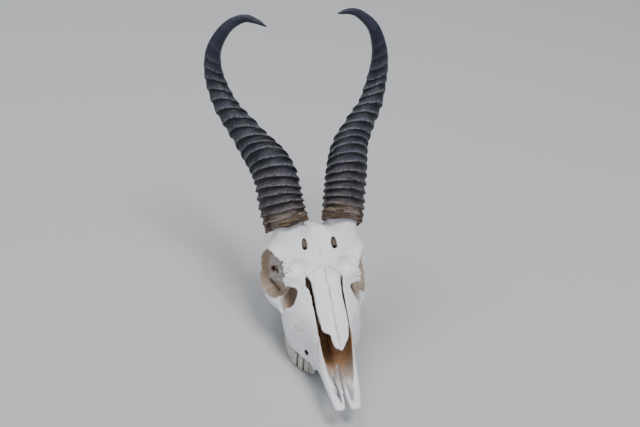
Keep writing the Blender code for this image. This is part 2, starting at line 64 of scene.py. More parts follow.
# Upper cheek teeth
# Six to a side, of enamel over dentine, grown in place: three premolars of one lobe and three
# molars of two. Each is a tall column worn flat underneath, with ribs down its cheek side and
# a crescent-shaped pocket in each lobe of the worn face. Its root sits loosely in the jaw.
MM = 0.001
SIDES = (("right", -1), ("left", 1))
Tooth = namedtuple("Tooth", "name x y length width bottom top lobes turn")
TEETH = (
    Tooth("second_premolar", 14.0, 72.0, 4.6, 4.6, 2.4, 13.0, 1, -32),
    Tooth("third_premolar", 16.8, 77.0, 5.4, 6.0, 1.2, 13.0, 1, -32),
    Tooth("fourth_premolar", 20.5, 82.8, 6.6, 7.4, 0.0, 13.0, 1, -26),
    Tooth("first_molar", 24.0, 91.4, 10.2, 8.8, 0.0, 13.0, 2, -14),
    Tooth("second_molar", 25.6, 103.0, 11.8, 9.2, 0.0, 13.0, 2, -4),
    Tooth("third_molar", 25.6, 116.0, 12.8, 8.8, 0.0, 13.4, 2, 3),
)

# RIB_PLACES are shares of a tooth's length, POCKET_RADIUS is a share of its width, and FAR is the
# distance given to points that are near nothing.
ROOT_DEPTH = 3.5
ROOT_TAPER = 0.10
TAPER_START = 3.0
SOCKET_GAP = 0.3
SOCKET_REACH = 30.0
LOBE_POWER = 2.3
RIB_RADIUS = 0.95
RIB_PLACES = {1: (-0.25, 0.25), 2: (-0.39, -0.13, 0.13, 0.39)}
RIB_STANDS_OUT = 0.6
RIB_TRUNK = 2.4
CHEWED_EDGE = 0.9
POCKET_DEPTH = 1.3
POCKET_RADIUS = 0.27
POCKET_STRETCH = 1.35
POCKET_HALF_WIDTH = 0.34
TOOTH_STEP = 0.34
FAR = 20.0
PALE_ENAMEL = (0.72, 0.70, 0.66)
ENAMEL = (0.56, 0.54, 0.48)
DENTINE = (0.30, 0.21, 0.13)
GROOVE_BROWN = (0.085, 0.065, 0.045)
STREAK_BROWN = (0.27, 0.20, 0.13)
GUM_BROWN = (0.24, 0.17, 0.10)

# The frame's own tooth tells where the millimetre plan lies in it.
low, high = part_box("left_second_molar")
molar = TEETH[4]
PLAN_ORIGIN = np.array([molar.x - (low.x + high.x) / 2 / MM, molar.y - (low.y + high.y) / 2 / MM, 0.0])


def rounded(first, second, blend):
    """The larger of two distances, with the corner between them rounded."""
    overlap = np.maximum(blend - np.abs(first - second), 0.0) / blend
    return np.maximum(first, second) + overlap * overlap * blend / 4


class Field:
    """Distances to a surface on a grid of points, in millimetres, less than nought inside it."""

    def __init__(self, low, high, step):
        self.step = step
        self.axes = [np.arange(a, b + step, step, dtype=np.float32) for a, b in zip(low, high)]
        self.value = np.full([len(axis) for axis in self.axes], FAR, np.float32)

    def window(self, shape, blend):
        """The part of the grid round a shape and its blend, and its coordinates."""
        margin = blend + 2.0
        cut = []
        for axis, start, end in zip(self.axes, shape.low, shape.high):
            first, last = np.searchsorted(axis, (start - margin, end + margin))
            cut.append(slice(int(first), int(last)))
        spots = [axis[part] for axis, part in zip(self.axes, cut)]
        return tuple(cut), np.meshgrid(*spots, indexing="ij", sparse=True)

    def add(self, shape, blend):
        cut, spots = self.window(shape, blend)
        self.value[cut] = -rounded(-self.value[cut], -shape.distance(*spots), blend)

    def take(self, shape, blend):
        cut, spots = self.window(shape, blend)
        self.value[cut] = rounded(self.value[cut], -shape.distance(*spots), blend)

    def surface(self):
        """Points and four-sided faces of the surface: one point in each grid cell that it crosses."""
        value, axes = self.value, self.axes
        inside = value < 0
        cells = [n - 1 for n in value.shape]
        total = np.zeros(cells + [3], np.float32)
        count = np.zeros(cells, np.int32)
        corner = [slice(0, -1), slice(1, None)]
        for axis in range(3):
            others = [i for i in range(3) if i != axis]
            for first in (0, 1):
                for second in (0, 1):
                    start = [None] * 3
                    start[axis], start[others[0]], start[others[1]] = corner[0], corner[first], corner[second]
                    end = list(start)
                    end[axis] = corner[1]
                    a, b = value[tuple(start)], value[tuple(end)]
                    crossed = inside[tuple(start)] != inside[tuple(end)]
                    where = np.nonzero(crossed)
                    share = a[where] / (a[where] - b[where])
                    total[where + (axis,)] += share
                    total[where + (others[0],)] += first
                    total[where + (others[1],)] += second
                    count[where] += 1
        used = count > 0
        number = np.full(cells, -1, np.int64)
        number[used] = np.arange(np.count_nonzero(used))
        place = np.argwhere(used)
        points = total[used] / count[used][:, None] + place
        points = points * self.step + np.array([axis[0] for axis in axes])
        faces = []
        for axis in range(3):
            others = [i for i in range(3) if i != axis]
            start = [slice(1, -1)] * 3
            start[axis] = slice(0, -1)
            end = list(start)
            end[axis] = slice(1, None)
            a, b = inside[tuple(start)], inside[tuple(end)]
            for leaving in (True, False):
                where = np.argwhere(a & ~b if leaving else ~a & b)
                where[:, others[0]] += 1
                where[:, others[1]] += 1
                quad = []
                for first, second in ((0, 0), (1, 0), (1, 1), (0, 1)):
                    cell = where.copy()
                    cell[:, others[0]] -= first
                    cell[:, others[1]] -= second
                    quad.append(number[cell[:, 0], cell[:, 1], cell[:, 2]])
                turn = leaving if axis != 1 else not leaving
                faces.append(np.stack(quad if turn else quad[::-1], axis=1))
        return points, np.concatenate(faces)


Shape = namedtuple("Shape", "low high distance")


def made_plain(piece):
    """The piece with its modifiers worked out and removed."""
    graph = bpy.context.evaluated_depsgraph_get()
    mesh = bpy.data.meshes.new_from_object(piece.evaluated_get(graph))
    piece.modifiers.clear()
    piece.data = mesh
    return piece


def surface_piece(name, points, faces):
    """An object from a field's surface, eased a little so that the grid's steps don't show."""
    mesh = bpy.data.meshes.new(name)
    mesh.vertices.add(len(points))
    mesh.vertices.foreach_set("co", ((points - PLAN_ORIGIN) * MM).astype(np.float32).ravel())
    mesh.loops.add(faces.size)
    mesh.loops.foreach_set("vertex_index", faces.ravel().astype(np.int32))
    mesh.polygons.add(len(faces))
    mesh.polygons.foreach_set("loop_start", np.arange(0, faces.size, 4, dtype=np.int32))
    mesh.update(calc_edges=True)
    mesh.shade_smooth()
    piece = bpy.data.objects.new(name, mesh)
    bpy.context.scene.collection.objects.link(piece)
    ease = piece.modifiers.new("ease", "SMOOTH")
    ease.factor = 0.5
    ease.iterations = 1
    return made_plain(piece)


def store(mesh, name, values):
    """Keeps one number or one vector for each point, in a named attribute."""
    kind, key = ("FLOAT_VECTOR", "vector") if values.ndim > 1 else ("FLOAT", "value")
    mesh.attributes.new(name, kind, "POINT").data.foreach_set(key, values.astype(np.float32).ravel())


class Value:
    """A socket that takes part in sums written as Python expressions."""

    def __init__(self, nodes, socket):
        self.nodes = nodes
        self.socket = socket

    def sum(self, operation, first, second):
        return self.nodes.node("ShaderNodeMath", {"operation": operation}, {0: first, 1: second})

    def __add__(self, other):
        return self.sum("ADD", self, other)

    def __sub__(self, other):
        return self.sum("SUBTRACT", self, other)

    def __rsub__(self, other):
        return self.sum("SUBTRACT", other, self)

    def __mul__(self, other):
        return self.sum("MULTIPLY", self, other)

    __radd__ = __add__
    __rmul__ = __mul__

    def between(self, low, high):
        """Nought at low, one at high, eased between."""
        return self.nodes.node("ShaderNodeMapRange", {"interpolation_type": "SMOOTHSTEP"},
                               {"Value": self, "From Min": low, "From Max": high}, "Result")


class Nodes:
    """A node tree that is built by calls and sums."""

    def __init__(self, tree):
        self.tree = tree

    def node(self, kind, settings, inputs, output=0):
        """Adds a node, with its settings and the values or links of its sockets."""
        made = self.tree.nodes.new(kind)
        for key, value in settings.items():
            setattr(made, key, value)
        for key, value in inputs.items():
            self.feed(made.inputs[key], value)
        return Value(self, made.outputs[output])

    def feed(self, socket, value):
        if isinstance(value, Value):
            self.tree.links.new(value.socket, socket)
        elif isinstance(value, tuple) and len(value) == 3 and socket.type == "RGBA":
            socket.default_value = (*value, 1.0)
        else:
            socket.default_value = value


class Finish(Nodes):
    """A material built from its Principled BSDF outwards."""

    def __init__(self, name):
        self.material = bpy.data.materials.new(name)
        self.material.use_nodes = True
        super().__init__(self.material.node_tree)
        self.shader = self.tree.nodes["Principled BSDF"]

    def set(self, **inputs):
        for key, value in inputs.items():
            self.feed(self.shader.inputs[key.replace("_", " ")], value)

    def place(self, scale=(1, 1, 1)):
        """Object coordinates in millimetres, stretched by scale."""
        spot = self.node("ShaderNodeTexCoord", {}, {}, "Object")
        return self.node("ShaderNodeVectorMath", {"operation": "MULTIPLY"},
                         {0: spot, 1: tuple(1000.0 * s for s in scale)})

    def noise(self, at, size, detail=4.0, roughness=0.55):
        return self.node("ShaderNodeTexNoise", {},
                         {"Vector": at, "Scale": 1.0 / size, "Detail": detail, "Roughness": roughness})

    def attribute(self, name):
        return self.node("ShaderNodeAttribute", {"attribute_name": name}, {}, "Fac")

    def mix(self, share, first, second):
        """A colour between two colours."""
        return self.node("ShaderNodeMix", {"data_type": "RGBA"}, {0: share, 6: first, 7: second}, 2)

    def bump(self, height, distance, strength, normal=None):
        inputs = {"Height": height, "Distance": distance * MM, "Strength": strength}
        if normal:
            inputs["Normal"] = normal
        return self.node("ShaderNodeBump", {}, inputs)


def tooth_plan(facts, side, x, y):
    """Places in a tooth's own plan: along the jaw, and outwards to the cheek."""
    angle = math.radians(facts.turn)
    across, along = side * x - facts.x, y - facts.y
    return (along * math.cos(angle) - across * math.sin(angle),
            across * math.cos(angle) + along * math.sin(angle))


def lobe_places(facts):
    """Middles of a tooth's lobes, along it."""
    return (-facts.length / 4, facts.length / 4) if facts.lobes == 2 else (0.0,)


def tooth_shape(facts, side, grow=0.0):
    """Distance to one crown and root: lobes in plan, ribs on the cheek side, tapering upwards.

    Grown a little it is the cut for the tooth's socket, and goes on downwards."""
    reach = max(facts.length, facts.width) / 2 + grow + 1.0
    floor = facts.bottom - SOCKET_REACH * (grow > 0)
    roof = facts.top + ROOT_DEPTH + grow
    lobe_half = facts.length / 2 / facts.lobes
    lobe_width = facts.width / 2 - RIB_STANDS_OUT

    def distance(x, y, z):
        u, v = tooth_plan(facts, side, x, y)
        risen = np.clip((z - facts.top + TAPER_START) / (ROOT_DEPTH + TAPER_START), 0.0, 1.0)
        narrow = 1.0 - ROOT_TAPER * risen
        plan = np.full(np.broadcast(u, v, z).shape, FAR, np.float32)
        for place in lobe_places(facts):
            k = (np.abs((u - place) / (lobe_half * narrow)) ** LOBE_POWER
                 + np.abs((v + RIB_STANDS_OUT) / (lobe_width * narrow)) ** LOBE_POWER) ** (1 / LOBE_POWER)
            plan = np.minimum(plan, (k - 1.0) * min(lobe_half, lobe_width))
        for share in RIB_PLACES[facts.lobes]:
            out = (facts.width / 2 - RIB_RADIUS) * narrow
            rib = np.hypot(u - share * facts.length, v - out) - RIB_RADIUS
            trunk = np.hypot(u - share * facts.length, (v - out / 2) / RIB_TRUNK) - RIB_RADIUS
            plan = np.minimum(plan, np.minimum(rib, trunk))
        return rounded(plan, np.maximum(floor - z, z - roof), CHEWED_EDGE) - grow

    return Shape((side * facts.x - reach, facts.y - reach, floor),
                 (side * facts.x + reach, facts.y + reach, roof), distance)


def pocket_shape(facts, side, place):
    """The crescent pocket in one lobe of a worn face."""
    radius = POCKET_RADIUS * facts.width

    def distance(x, y, z):
        u, v = tooth_plan(facts, side, x, y)
        round_centre = np.hypot((u - place) / POCKET_STRETCH, v - radius * 0.75)
        ring = np.abs(round_centre - radius) - POCKET_HALF_WIDTH
        crescent = np.maximum(ring, v - radius * 0.85)
        return np.maximum(crescent, z - facts.bottom - POCKET_DEPTH)

    middle = np.array([side * facts.x, facts.y, facts.bottom])
    return Shape(middle - (6, 7, 2), middle + (6, 7, 2), distance)


enamel = Finish("worn_enamel")
cloud = enamel.noise(enamel.place(), 2.5)
streak = enamel.noise(enamel.place((1.0, 1.0, 0.18)), 0.55, 3.0)
worn, gum, groove = (enamel.attribute(name) for name in ("worn", "gumline", "groove"))
shade = enamel.mix(cloud.between(0.35, 0.7), PALE_ENAMEL, ENAMEL)
shade = enamel.mix(groove * 0.9, shade, GROOVE_BROWN)
shade = enamel.mix(streak.between(0.56, 0.72) * 0.55, shade, STREAK_BROWN)
shade = enamel.mix(gum * 0.75, shade, GUM_BROWN)
shade = enamel.mix(worn, shade, DENTINE)
enamel.set(Base_Color=shade, Roughness=cloud.between(0.2, 0.8) * 0.2 + 0.28, Specular_IOR_Level=0.5)
enamel.set(Normal=enamel.bump(streak, 0.12, 0.6))

for side_name, side in SIDES:
    for facts in TEETH:
        crown = tooth_shape(facts, side)
        field = Field(np.array(crown.low) - 1.5, np.array(crown.high) + 1.5, TOOTH_STEP)
        field.add(crown, 0.3)
        for place in lobe_places(facts):
            field.take(pocket_shape(facts, side, place), 0.2)
        points, faces = field.surface()
        piece = surface_piece(f"{side_name}_{facts.name}_crown", points, faces)
        x, y, height = points.T
        u, v = tooth_plan(facts, side, x, y)
        flat = np.clip((facts.bottom + 1.6 - height) / 0.9, 0.0, 1.0)
        edge = np.abs(crown.distance(x, y, np.full(len(points), facts.bottom + 3.0)))
        grooved = np.min([np.hypot(u - share * facts.length, v - facts.width / 2 + RIB_RADIUS)
                          for share in RIB_PLACES[facts.lobes]], axis=0) - RIB_RADIUS
        store(piece.data, "worn", flat * np.clip((edge - 0.5) / 0.5, 0.0, 1.0))
        store(piece.data, "gumline", np.clip((height - facts.top - 0.4) / 2.4, 0.0, 1.0))
        store(piece.data, "groove", np.clip((grooved - 0.30) / 0.55, 0.0, 1.0) * (v > 0.1 * facts.width))
        piece.data.materials.append(enamel.material)
        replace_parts(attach(piece, "root"), f"{side_name}_{facts.name}")


# Skull
# One bone grown together from many: thin-walled, bleached nearly white in the sun, with the nose's
# brown lining left inside it. The nasal bones lie over the airway and end in a free point, open
# slits run beside them, and the stumps for the horns rise from the brow behind the eye sockets.
SKULL_STEP = 0.8
SKULL_TRIANGLES = 190000
SKULL_LOW = (-53.0, -4.0, -2.0)
SKULL_HIGH = (53.0, 216.0, 119.0)

# Cross-sections along Y: half width, heights of the top, the widest place and the bottom, and how
# square the upper and lower halves are. Those of the cavity are the nose's airway.
Station = namedtuple("Station", "y width top middle bottom upper_power lower_power")
BODY_STATIONS = [Station(*row) for row in (
    (20, 12.6, 31.0, 26.0, 21.5, 3.0, 2.4),
    (34, 14.2, 37.5, 27.0, 20.5, 3.2, 2.4),
    (46, 15.8, 46.0, 28.0, 19.0, 3.2, 2.4),
    (58, 17.2, 56.6, 28.0, 17.0, 3.2, 2.4),
    (67, 19.6, 61.0, 25.0, 14.5, 3.2, 3.0),
    (78, 25.2, 65.6, 24.0, 12.8, 2.7, 3.5),
    (92, 31.7, 71.4, 27.0, 12.2, 2.3, 3.5),
    (106, 34.4, 77.8, 34.0, 12.6, 2.1, 3.4),
    (118, 34.7, 84.5, 42.0, 14.0, 2.0, 3.0),
    (130, 33.2, 90.0, 56.0, 20.0, 2.2, 2.2),
    (142, 34.2, 95.6, 68.0, 24.0, 2.5, 2.0),
    (155, 34.2, 100.0, 70.0, 24.0, 2.4, 2.0),
    (166, 33.2, 97.0, 66.0, 22.0, 2.2, 2.0),
    (178, 31.2, 90.6, 60.0, 20.0, 2.2, 2.0),
    (190, 28.2, 81.6, 54.0, 19.0, 2.1, 2.0),
    (200, 22.2, 71.4, 50.0, 20.0, 2.0, 2.0),
    (207, 13.4, 60.2, 42.0, 24.0, 2.0, 2.0),
)]
CAVITY_STATIONS = [Station(*row) for row in (
    (5, 2.0, 60, 31, 25.2, 6, 2.4),
    (16, 6.2, 60, 32, 24.2, 6, 2.4),
    (28, 9.6, 62, 35, 24.2, 6, 2.4),
    (40, 11.6, 66, 38, 24.7, 6, 2.4),
    (52, 12.8, 72, 42, 25.0, 6, 2.4),
    (62, 13.2, 78, 46, 25.5, 6, 2.4),
    (66, 13.0, 76, 48, 26.0, 6, 2.4),
    (69, 12.6, 61.6, 46, 26.0, 5, 2.4),
    (84, 12.6, 67.6, 48, 30.0, 5, 2.4),
    (100, 13.6, 72.8, 54, 36.0, 5, 2.4),
    (106, 13.6, 72.4, 56, 40.0, 4, 2.4),
    (112, 9.0, 69.0, 57, 46.0, 3, 2.4),
)]

# Nasal bones along Y: height of the ridge, and how far each side reaches from the middle plane
NASAL_RIDGE = ((42.0, 51.9), (48, 54.8), (58, 59.2), (72, 65.0), (96, 74.8), (117, 83.6))
NASAL_RIGHT = ((41.8, -1.8), (42.5, -0.3), (43.6, 2.2), (45.5, 3.6), (48.2, 4.7), (52.2, 5.6), (56.2, 6.6),
               (58.2, 9.2), (60.1, 10.9), (63.8, 12.6), (68, 12.9), (74, 12.4), (90, 12.1), (98, 11.9),
               (104, 10.8), (110, 9.0), (116, 5.6), (118, 3.2))
NASAL_LEFT = ((41.8, 1.8), (42.6, 3.0), (43.9, 3.9), (45.6, 5.0), (48.9, 6.9), (52.2, 8.9), (57.4, 10.4),
              (62.6, 11.5), (68, 12.0), (74, 12.1), (90, 12.1), (98, 11.9), (104, 10.8), (110, 9.0),
              (116, 5.6), (118, 3.2))
NASAL_THICKNESS = 1.9
NASAL_ARCH = 2.4

# Eye socket on the animal's left. Its hollows are steps outward and backward from the centre, and
# radii. Lumps and nerve holes have a radius, and cracks and the crumbled rim are lines.
SOCKET_CENTRE = (39.8, 136.5, 64.5)
SOCKET_RADIUS = 21.2
SOCKET_RIM = 1.7
SOCKET_OUTWARD = (0.93, -0.33, 0.16)
SOCKET_BACKWARD = (0.33, 0.94, 0.0)
SOCKET_HOLLOWS = ((2.0, 0.0, (21.0, 20.6, 20.6)), (2.5, 3.0, (18.0, 20.4, 20.2)))
SOCKET_LUMPS = (((32.5, 146, 62), 5.0), ((35.5, 150, 50.5), 5.5), ((30.5, 141, 53), 5.0),
                ((37, 156, 66), 4.0))
SOCKET_HOLES = (((36.0, 154.5, 58.2), 1.5), ((31.8, 151.8, 57.2), 1.2))
SOCKET_CRACKS = (((39.2, 149, 49.5), (36.5, 144, 47.6), (34.4, 141.2, 46.8), (33.0, 136, 45.4)),
                 ((36.6, 119.6, 55.4), (36.9, 118.4, 56.4)))
CRUMBLED_RIM = ((33.5, 125, 83), (31, 121, 79.5), (33.5, 118.5, 73), (35.5, 117.5, 60))

# Balls of the animal's left side: centre, radii and the width of the blend. They are the brow, the
# foot of the horn, the wall of the eye socket, the cheek and the tear bone.
SWELLINGS = (
    ((26.5, 143, 79.5), (18.5, 19.5, 12.0), 9.0),
    ((20.5, 151, 86.0), (17.6, 16.0, 12.6), 7.0),
    ((29.5, 141, 62.0), (14.5, 22.0, 22.5), 5.0),
    ((29.0, 117, 50.0), (8.5, 12.0, 11.0), 6.0),
    ((26.0, 124, 65.0), (10.0, 12.5, 14.5), 5.0),
)
CONDYLE = ((10, 204, 27), (7.0, 7.8, 9.3), 3.0)
EAR_BULLA = ((15.5, 178, 18), (8.0, 12.5, 10.0), 2.5)
BRAIN_OPENING = ((0, 206, 38), (9, 17, 8.5), 1.5)
HOLLOW_BEHIND_EYE = ((38.5, 170, 63), (7.5, 6.6, 14.0), 2.0)
BROW_HOLE = ((13.2, 137.3, 94.4), (2.3, 6.4, 3.9), 1.0)
NASAL_DENTS = (((21.0, 119.5, 83.5), (6.5, 7.0, 6.0), 3.0), ((27.5, 101.0, 72.0), (8.0, 12.0, 6.5), 4.0))

# Bars: rows of x, y, z on the animal's left, and the half sizes there in X, Y and Z.
HORN_STUMP = ((20, 146, 80, 16, 15, 14), (22, 152, 91, 14.6, 13.2, 12), (24.8, 159, 101, 13.6, 12.2, 10),
              (28.5, 168, 113, 13, 12, 8))
SOCKET_FLOOR = ((33, 122, 43, 7, 4, 3), (35.5, 138, 42.5, 7, 4, 3), (37, 152, 44, 7, 4, 3))
CHEEK_ARCH = ((28, 106, 42, 3.2, 4, 6), (33.5, 114, 43.5, 3, 4, 5.5), (38.6, 122, 43.5, 2.6, 4, 4.8),
              (42.6, 134, 42, 2.3, 4, 4.2), (43.8, 148, 42.5, 2.2, 4, 4), (42.5, 163, 45, 2.2, 4, 4),
              (38, 177, 47, 2.5, 4, 4), (28, 188, 48, 3.2, 4, 4.5))
BAR_BEHIND_EYE = ((35, 152, 86, 5, 4, 4), (40, 156.5, 79, 4.4, 3.4, 4), (43, 158.5, 66, 3.4, 3, 4),
                  (43.2, 154.5, 53, 3.2, 3, 4), (42.6, 147, 44, 3, 3.5, 4))
PREMAXILLA_OUTER = ((6.6, 3.9, 22.4, 4.6, 3, 1.7), (7.4, 7, 23.2, 4.4, 3, 2.6), (10.2, 16, 25.4, 2.8, 3, 3.6),
                    (12.2, 30, 28, 2.4, 3, 4.5), (13.8, 46, 31, 2.4, 3, 5))
PREMAXILLA_INNER = ((3.9, 5, 22.4, 2.1, 2, 1.7), (2.7, 12, 23.4, 1.6, 2, 1.9), (2.5, 24, 24.2, 1.6, 2, 2.1),
                    (2.8, 40, 24.6, 1.8, 2, 2.3))
OCCIPUT_PROCESS = ((20, 193, 44, 3.6, 6.5, 5), (21.5, 196.5, 28, 3.2, 5.2, 5), (20.5, 196.5, 12, 2.8, 4.4, 5),
                   (19.5, 194.5, -2, 2.6, 3.6, 5))
PTERYGOID_PLATE = ((9, 124, 24, 1.7, 4, 7), (9, 140, 20, 1.5, 4, 8), (9.5, 154, 22, 1.4, 4, 5))
TOOTH_RIDGE = ((12.8, 63, 18, 3.6, 4, 3.6), (14, 71, 15.4, 4.2, 4, 3.6), (17.6, 79, 14.8, 5, 4, 3.8),
               (22, 87.5, 14.4, 5.8, 4, 4), (25, 99, 14.4, 6.2, 4, 4), (25.6, 112, 14.6, 6, 4, 4),
               (24.6, 126, 18, 4.2, 4, 3.6))
SKULL_BASE = ((0, 120, 30, 9, 5, 5), (0, 150, 27, 9, 5, 5), (0, 178, 22, 9, 5, 5), (0, 198, 24, 8, 5, 5))
NAPE_CREST = ((-22, 192, 52, 3, 2.6, 3.4), (-15, 199.5, 64, 3, 2.6, 3.4), (0, 203, 69.5, 3, 2.6, 3.4),
              (15, 199.5, 64, 3, 2.6, 3.4), (22, 192, 52, 3, 2.6, 3.4))
AIRWAY_KEEL = ((0, 44, 24.5, 1.2, 3, 1.6), (0, 66, 26, 1.2, 3, 2.4), (0, 96, 38, 1.2, 3, 5))

# Hollows and slits, in rows of the same kind
PALATE_HOLLOW = ((0, 62, 11, 7, 4, 7), (0, 76, 10, 9.5, 4, 8), (0, 92, 8.5, 14, 4, 9.5),
                 (0, 112, 9, 15.8, 4, 9.5), (0, 134, 11, 7.2, 4, 9), (0, 148, 13, 6.5, 4, 7))
PALATE_SLITS = {
    -1: ((4.6, 9, 22, 0.8, 1.5, 7), (4.2, 18, 23, 1.4, 1.5, 7), (3.9, 31, 25, 1.4, 1.5, 7),
         (2.9, 47, 26, 0.6, 1.5, 7)),
    1: ((5.4, 10, 22, 0.8, 1.5, 7), (5.6, 16, 23, 1.4, 1.5, 7), (5.3, 22, 24, 1.4, 1.5, 7),
        (4.9, 29, 25, 0.6, 1.5, 7)),
}
MIDDLE_SLIT = ((-1.8, -4, 23, 1.7, 2, 8), (-0.4, 8, 24, 1.0, 2, 8), (0.6, 18, 24, 0.75, 2, 8),
               (1.4, 30, 25, 0.85, 2, 8), (2.0, 41, 26, 0.85, 2, 8), (2.1, 52, 27, 0.5, 2, 8))
SLIT_HIND_END = ((17.2, 117, 78, 0.8, 1.2, 2.2), (16.4, 113, 76, 0.8, 1.2, 2.2),
                 (15.2, 109, 73, 0.8, 1.2, 2.2))
BROW_CHANNEL = ((13.6, 135.0, 91.5, 1.8, 2.4, 3), (13.9, 138, 84, 1.8, 2.4, 3))
JAW_EDGE = ((17.4, 67, 12.5, 3.4, 4, 4.2), (20.4, 74.5, 12.8, 3.4, 4, 4.2), (24.8, 82, 12.8, 3.4, 4, 4.2),
            (29.8, 91, 12.6, 3.4, 4, 4.2), (32.2, 103, 12.4, 3.4, 4, 4.2), (31.8, 118, 12.2, 3.4, 4, 4.2))
NASAL_SLIT = ((15.4, 111, 75), (14.6, 106, 72.5), (13.7, 99, 70), (13.4, 84, 65), (13.2, 72, 60.5),
              (12.9, 62, 56))
NASAL_SLIT_HALF = {-1: (1.0, 2.3, 1.25, 1.1, 1.0, 1.3), 1: (0.7, 0.9, 0.8, 0.8, 0.8, 1.1)}
# How strongly the walls inside each nasal slit are painted with shade, right and left
SLIT_SHADE_STRENGTH = {-1: 0.95, 1: 0.35}
CHEEK_HOLE = (21.2, 70.4, 27.2)
CHEEK_CHANNEL = ((20.6, 70.9, 27), (17, 73, 26))


def through(table, at):
    """A smooth curve through (place, value) pairs, read at an array of places."""
    places = np.array([row[0] for row in table], float)
    values = np.array([row[1] for row in table], float)
    slopes = np.gradient(values, places, axis=0)
    i = np.clip(np.searchsorted(places, at) - 1, 0, len(places) - 2)
    run = places[i + 1] - places[i]
    t = np.clip((at - places[i]) / run, 0.0, 1.0)
    if values.ndim > 1:
        run, t = run[..., None], t[..., None]
    return ((2 * t ** 3 - 3 * t ** 2 + 1) * values[i] + (t ** 3 - 2 * t ** 2 + t) * slopes[i] * run
            + (3 * t ** 2 - 2 * t ** 3) * values[i + 1] + (t ** 3 - t ** 2) * slopes[i + 1] * run)


def lofted(stations):
    """A form whose cross-section changes from station to station along Y."""
    def at(name, y):
        return through([(s.y, getattr(s, name)) for s in stations], y).astype(np.float32)

    def distance(x, y, z):
        width, top, middle, bottom = (at(name, y) for name in ("width", "top", "middle", "bottom"))
        above = z > middle
        reach = np.where(above, top - middle, middle - bottom)
        power = np.where(above, at("upper_power", y), at("lower_power", y))
        k = ((np.abs(x) / width) ** power + (np.abs(z - middle) / reach) ** power) ** (1 / power)
        slope_x = np.abs(x) ** (power - 1) / width ** power
        slope_z = np.abs(z - middle) ** (power - 1) / reach ** power
        slope = np.hypot(slope_x, slope_z) / np.maximum(k, 0.05) ** (power - 1)
        ends = np.maximum(stations[0].y - y, y - stations[-1].y)
        return np.maximum((k - 1) / np.maximum(slope, 0.012), ends)

    wide = max(s.width for s in stations)
    return Shape((-wide, stations[0].y, min(s.bottom for s in stations)),
                 (wide, stations[-1].y, max(s.top for s in stations)), distance)


def ball(centre, radii, outward=(1, 0, 0)):
    """A ball stretched to three radii, the first of them along outward."""
    turn = np.array(Vector(outward).to_track_quat("X", "Z").to_matrix())
    centre, radii = np.array(centre, float), np.array(radii, float)

    def distance(x, y, z):
        parts = [(x - centre[0]) * turn[0, i] + (y - centre[1]) * turn[1, i] + (z - centre[2]) * turn[2, i]
                 for i in range(3)]
        near = np.sqrt(sum((part / r) ** 2 for part, r in zip(parts, radii)))
        far = np.sqrt(sum((part / r ** 2) ** 2 for part, r in zip(parts, radii)))
        return near * (near - 1.0) / np.maximum(far, 1e-4)

    reach = np.abs(turn) @ radii
    return Shape(tuple(centre - reach), tuple(centre + reach), distance)


def sided(point, side):
    """A place or direction given for the animal's left, on the side asked for."""
    return np.array((side * point[0], point[1], point[2]), float)


def mirror(line, side):
    """A line given for the animal's left, on the side asked for."""
    return [sided(point, side) for point in line]


def rod(points, sizes, steps=9):
    """A rod along a smooth line through points; sizes are its half sizes in X, Y and Z at each."""
    places = np.linspace(0, len(points) - 1, steps * (len(points) - 1) + 1)
    line = through(list(enumerate(points)), places)
    size = through(list(enumerate(sizes)), places)

    def distance(x, y, z):
        nearest = np.full(np.broadcast(x, y, z).shape, FAR, np.float32)
        for (cx, cy, cz), (rx, ry, rz) in zip(line, size):
            dx, dy, dz = x - cx, y - cy, z - cz
            near = np.sqrt((dx / rx) ** 2 + (dy / ry) ** 2 + (dz / rz) ** 2)
            far = np.sqrt((dx / rx ** 2) ** 2 + (dy / ry ** 2) ** 2 + (dz / rz ** 2) ** 2)
            nearest = np.minimum(nearest, near * (near - 1.0) / np.maximum(far, 1e-4))
        return nearest

    return Shape(tuple((line - size).min(0)), tuple((line + size).max(0)), distance)


def bar(rows, side=1):
    """A rod from rows of its place and half sizes."""
    return rod(mirror(rows, side), [row[3:] for row in rows])


def ring(centre, outward, radius, thick):
    """A round ring that faces outward."""
    centre, axis = np.array(centre, float), np.array(Vector(outward).normalized())

    def distance(x, y, z):
        dx, dy, dz = x - centre[0], y - centre[1], z - centre[2]
        along = dx * axis[0] + dy * axis[1] + dz * axis[2]
        flat = np.sqrt(np.maximum(dx * dx + dy * dy + dz * dz - along * along, 0.0))
        return np.hypot(flat - radius, along) - thick

    reach = radius + thick
    return Shape(tuple(centre - reach), tuple(centre + reach), distance)


def nasal_bones():
    """The pair of nasal bones: a thin arched plate that ends in a free point in front."""
    def distance(x, y, z):
        reach = np.where(x < 0, through(NASAL_RIGHT, y), through(NASAL_LEFT, y))
        ridge = through(NASAL_RIDGE, y)
        upper = ridge - NASAL_ARCH * (x / 12.0) ** 2 - 0.35 * np.exp(-((x - 0.8) / 0.8) ** 2)
        middle = upper - NASAL_THICKNESS / 2
        sheet = np.abs(z - middle) * 0.92 - NASAL_THICKNESS / 2
        edge = (np.abs(x) - reach) * 0.8
        ends = np.maximum(NASAL_LEFT[0][0] - y, y - NASAL_LEFT[-1][0])
        return np.maximum(np.maximum(sheet, edge), ends)

    return Shape((-13, 42, 45), (13, 119, 86), distance)


def lumps(points, size, seed):
    """Smooth random heights from minus one to one, with lumps of about the given size."""
    table = np.random.default_rng(seed).uniform(-1, 1, (64, 64, 64))
    grid = points / size
    base = np.floor(grid).astype(int)
    t = grid - base
    t = t * t * (3 - 2 * t)
    total = np.zeros(len(points))
    for dx in (0, 1):
        for dy in (0, 1):
            for dz in (0, 1):
                weight = np.abs(1 - dx - t[:, 0]) * np.abs(1 - dy - t[:, 1]) * np.abs(1 - dz - t[:, 2])
                corner = (base + (dx, dy, dz)) % 64
                total += weight * table[corner[:, 0], corner[:, 1], corner[:, 2]]
    return total


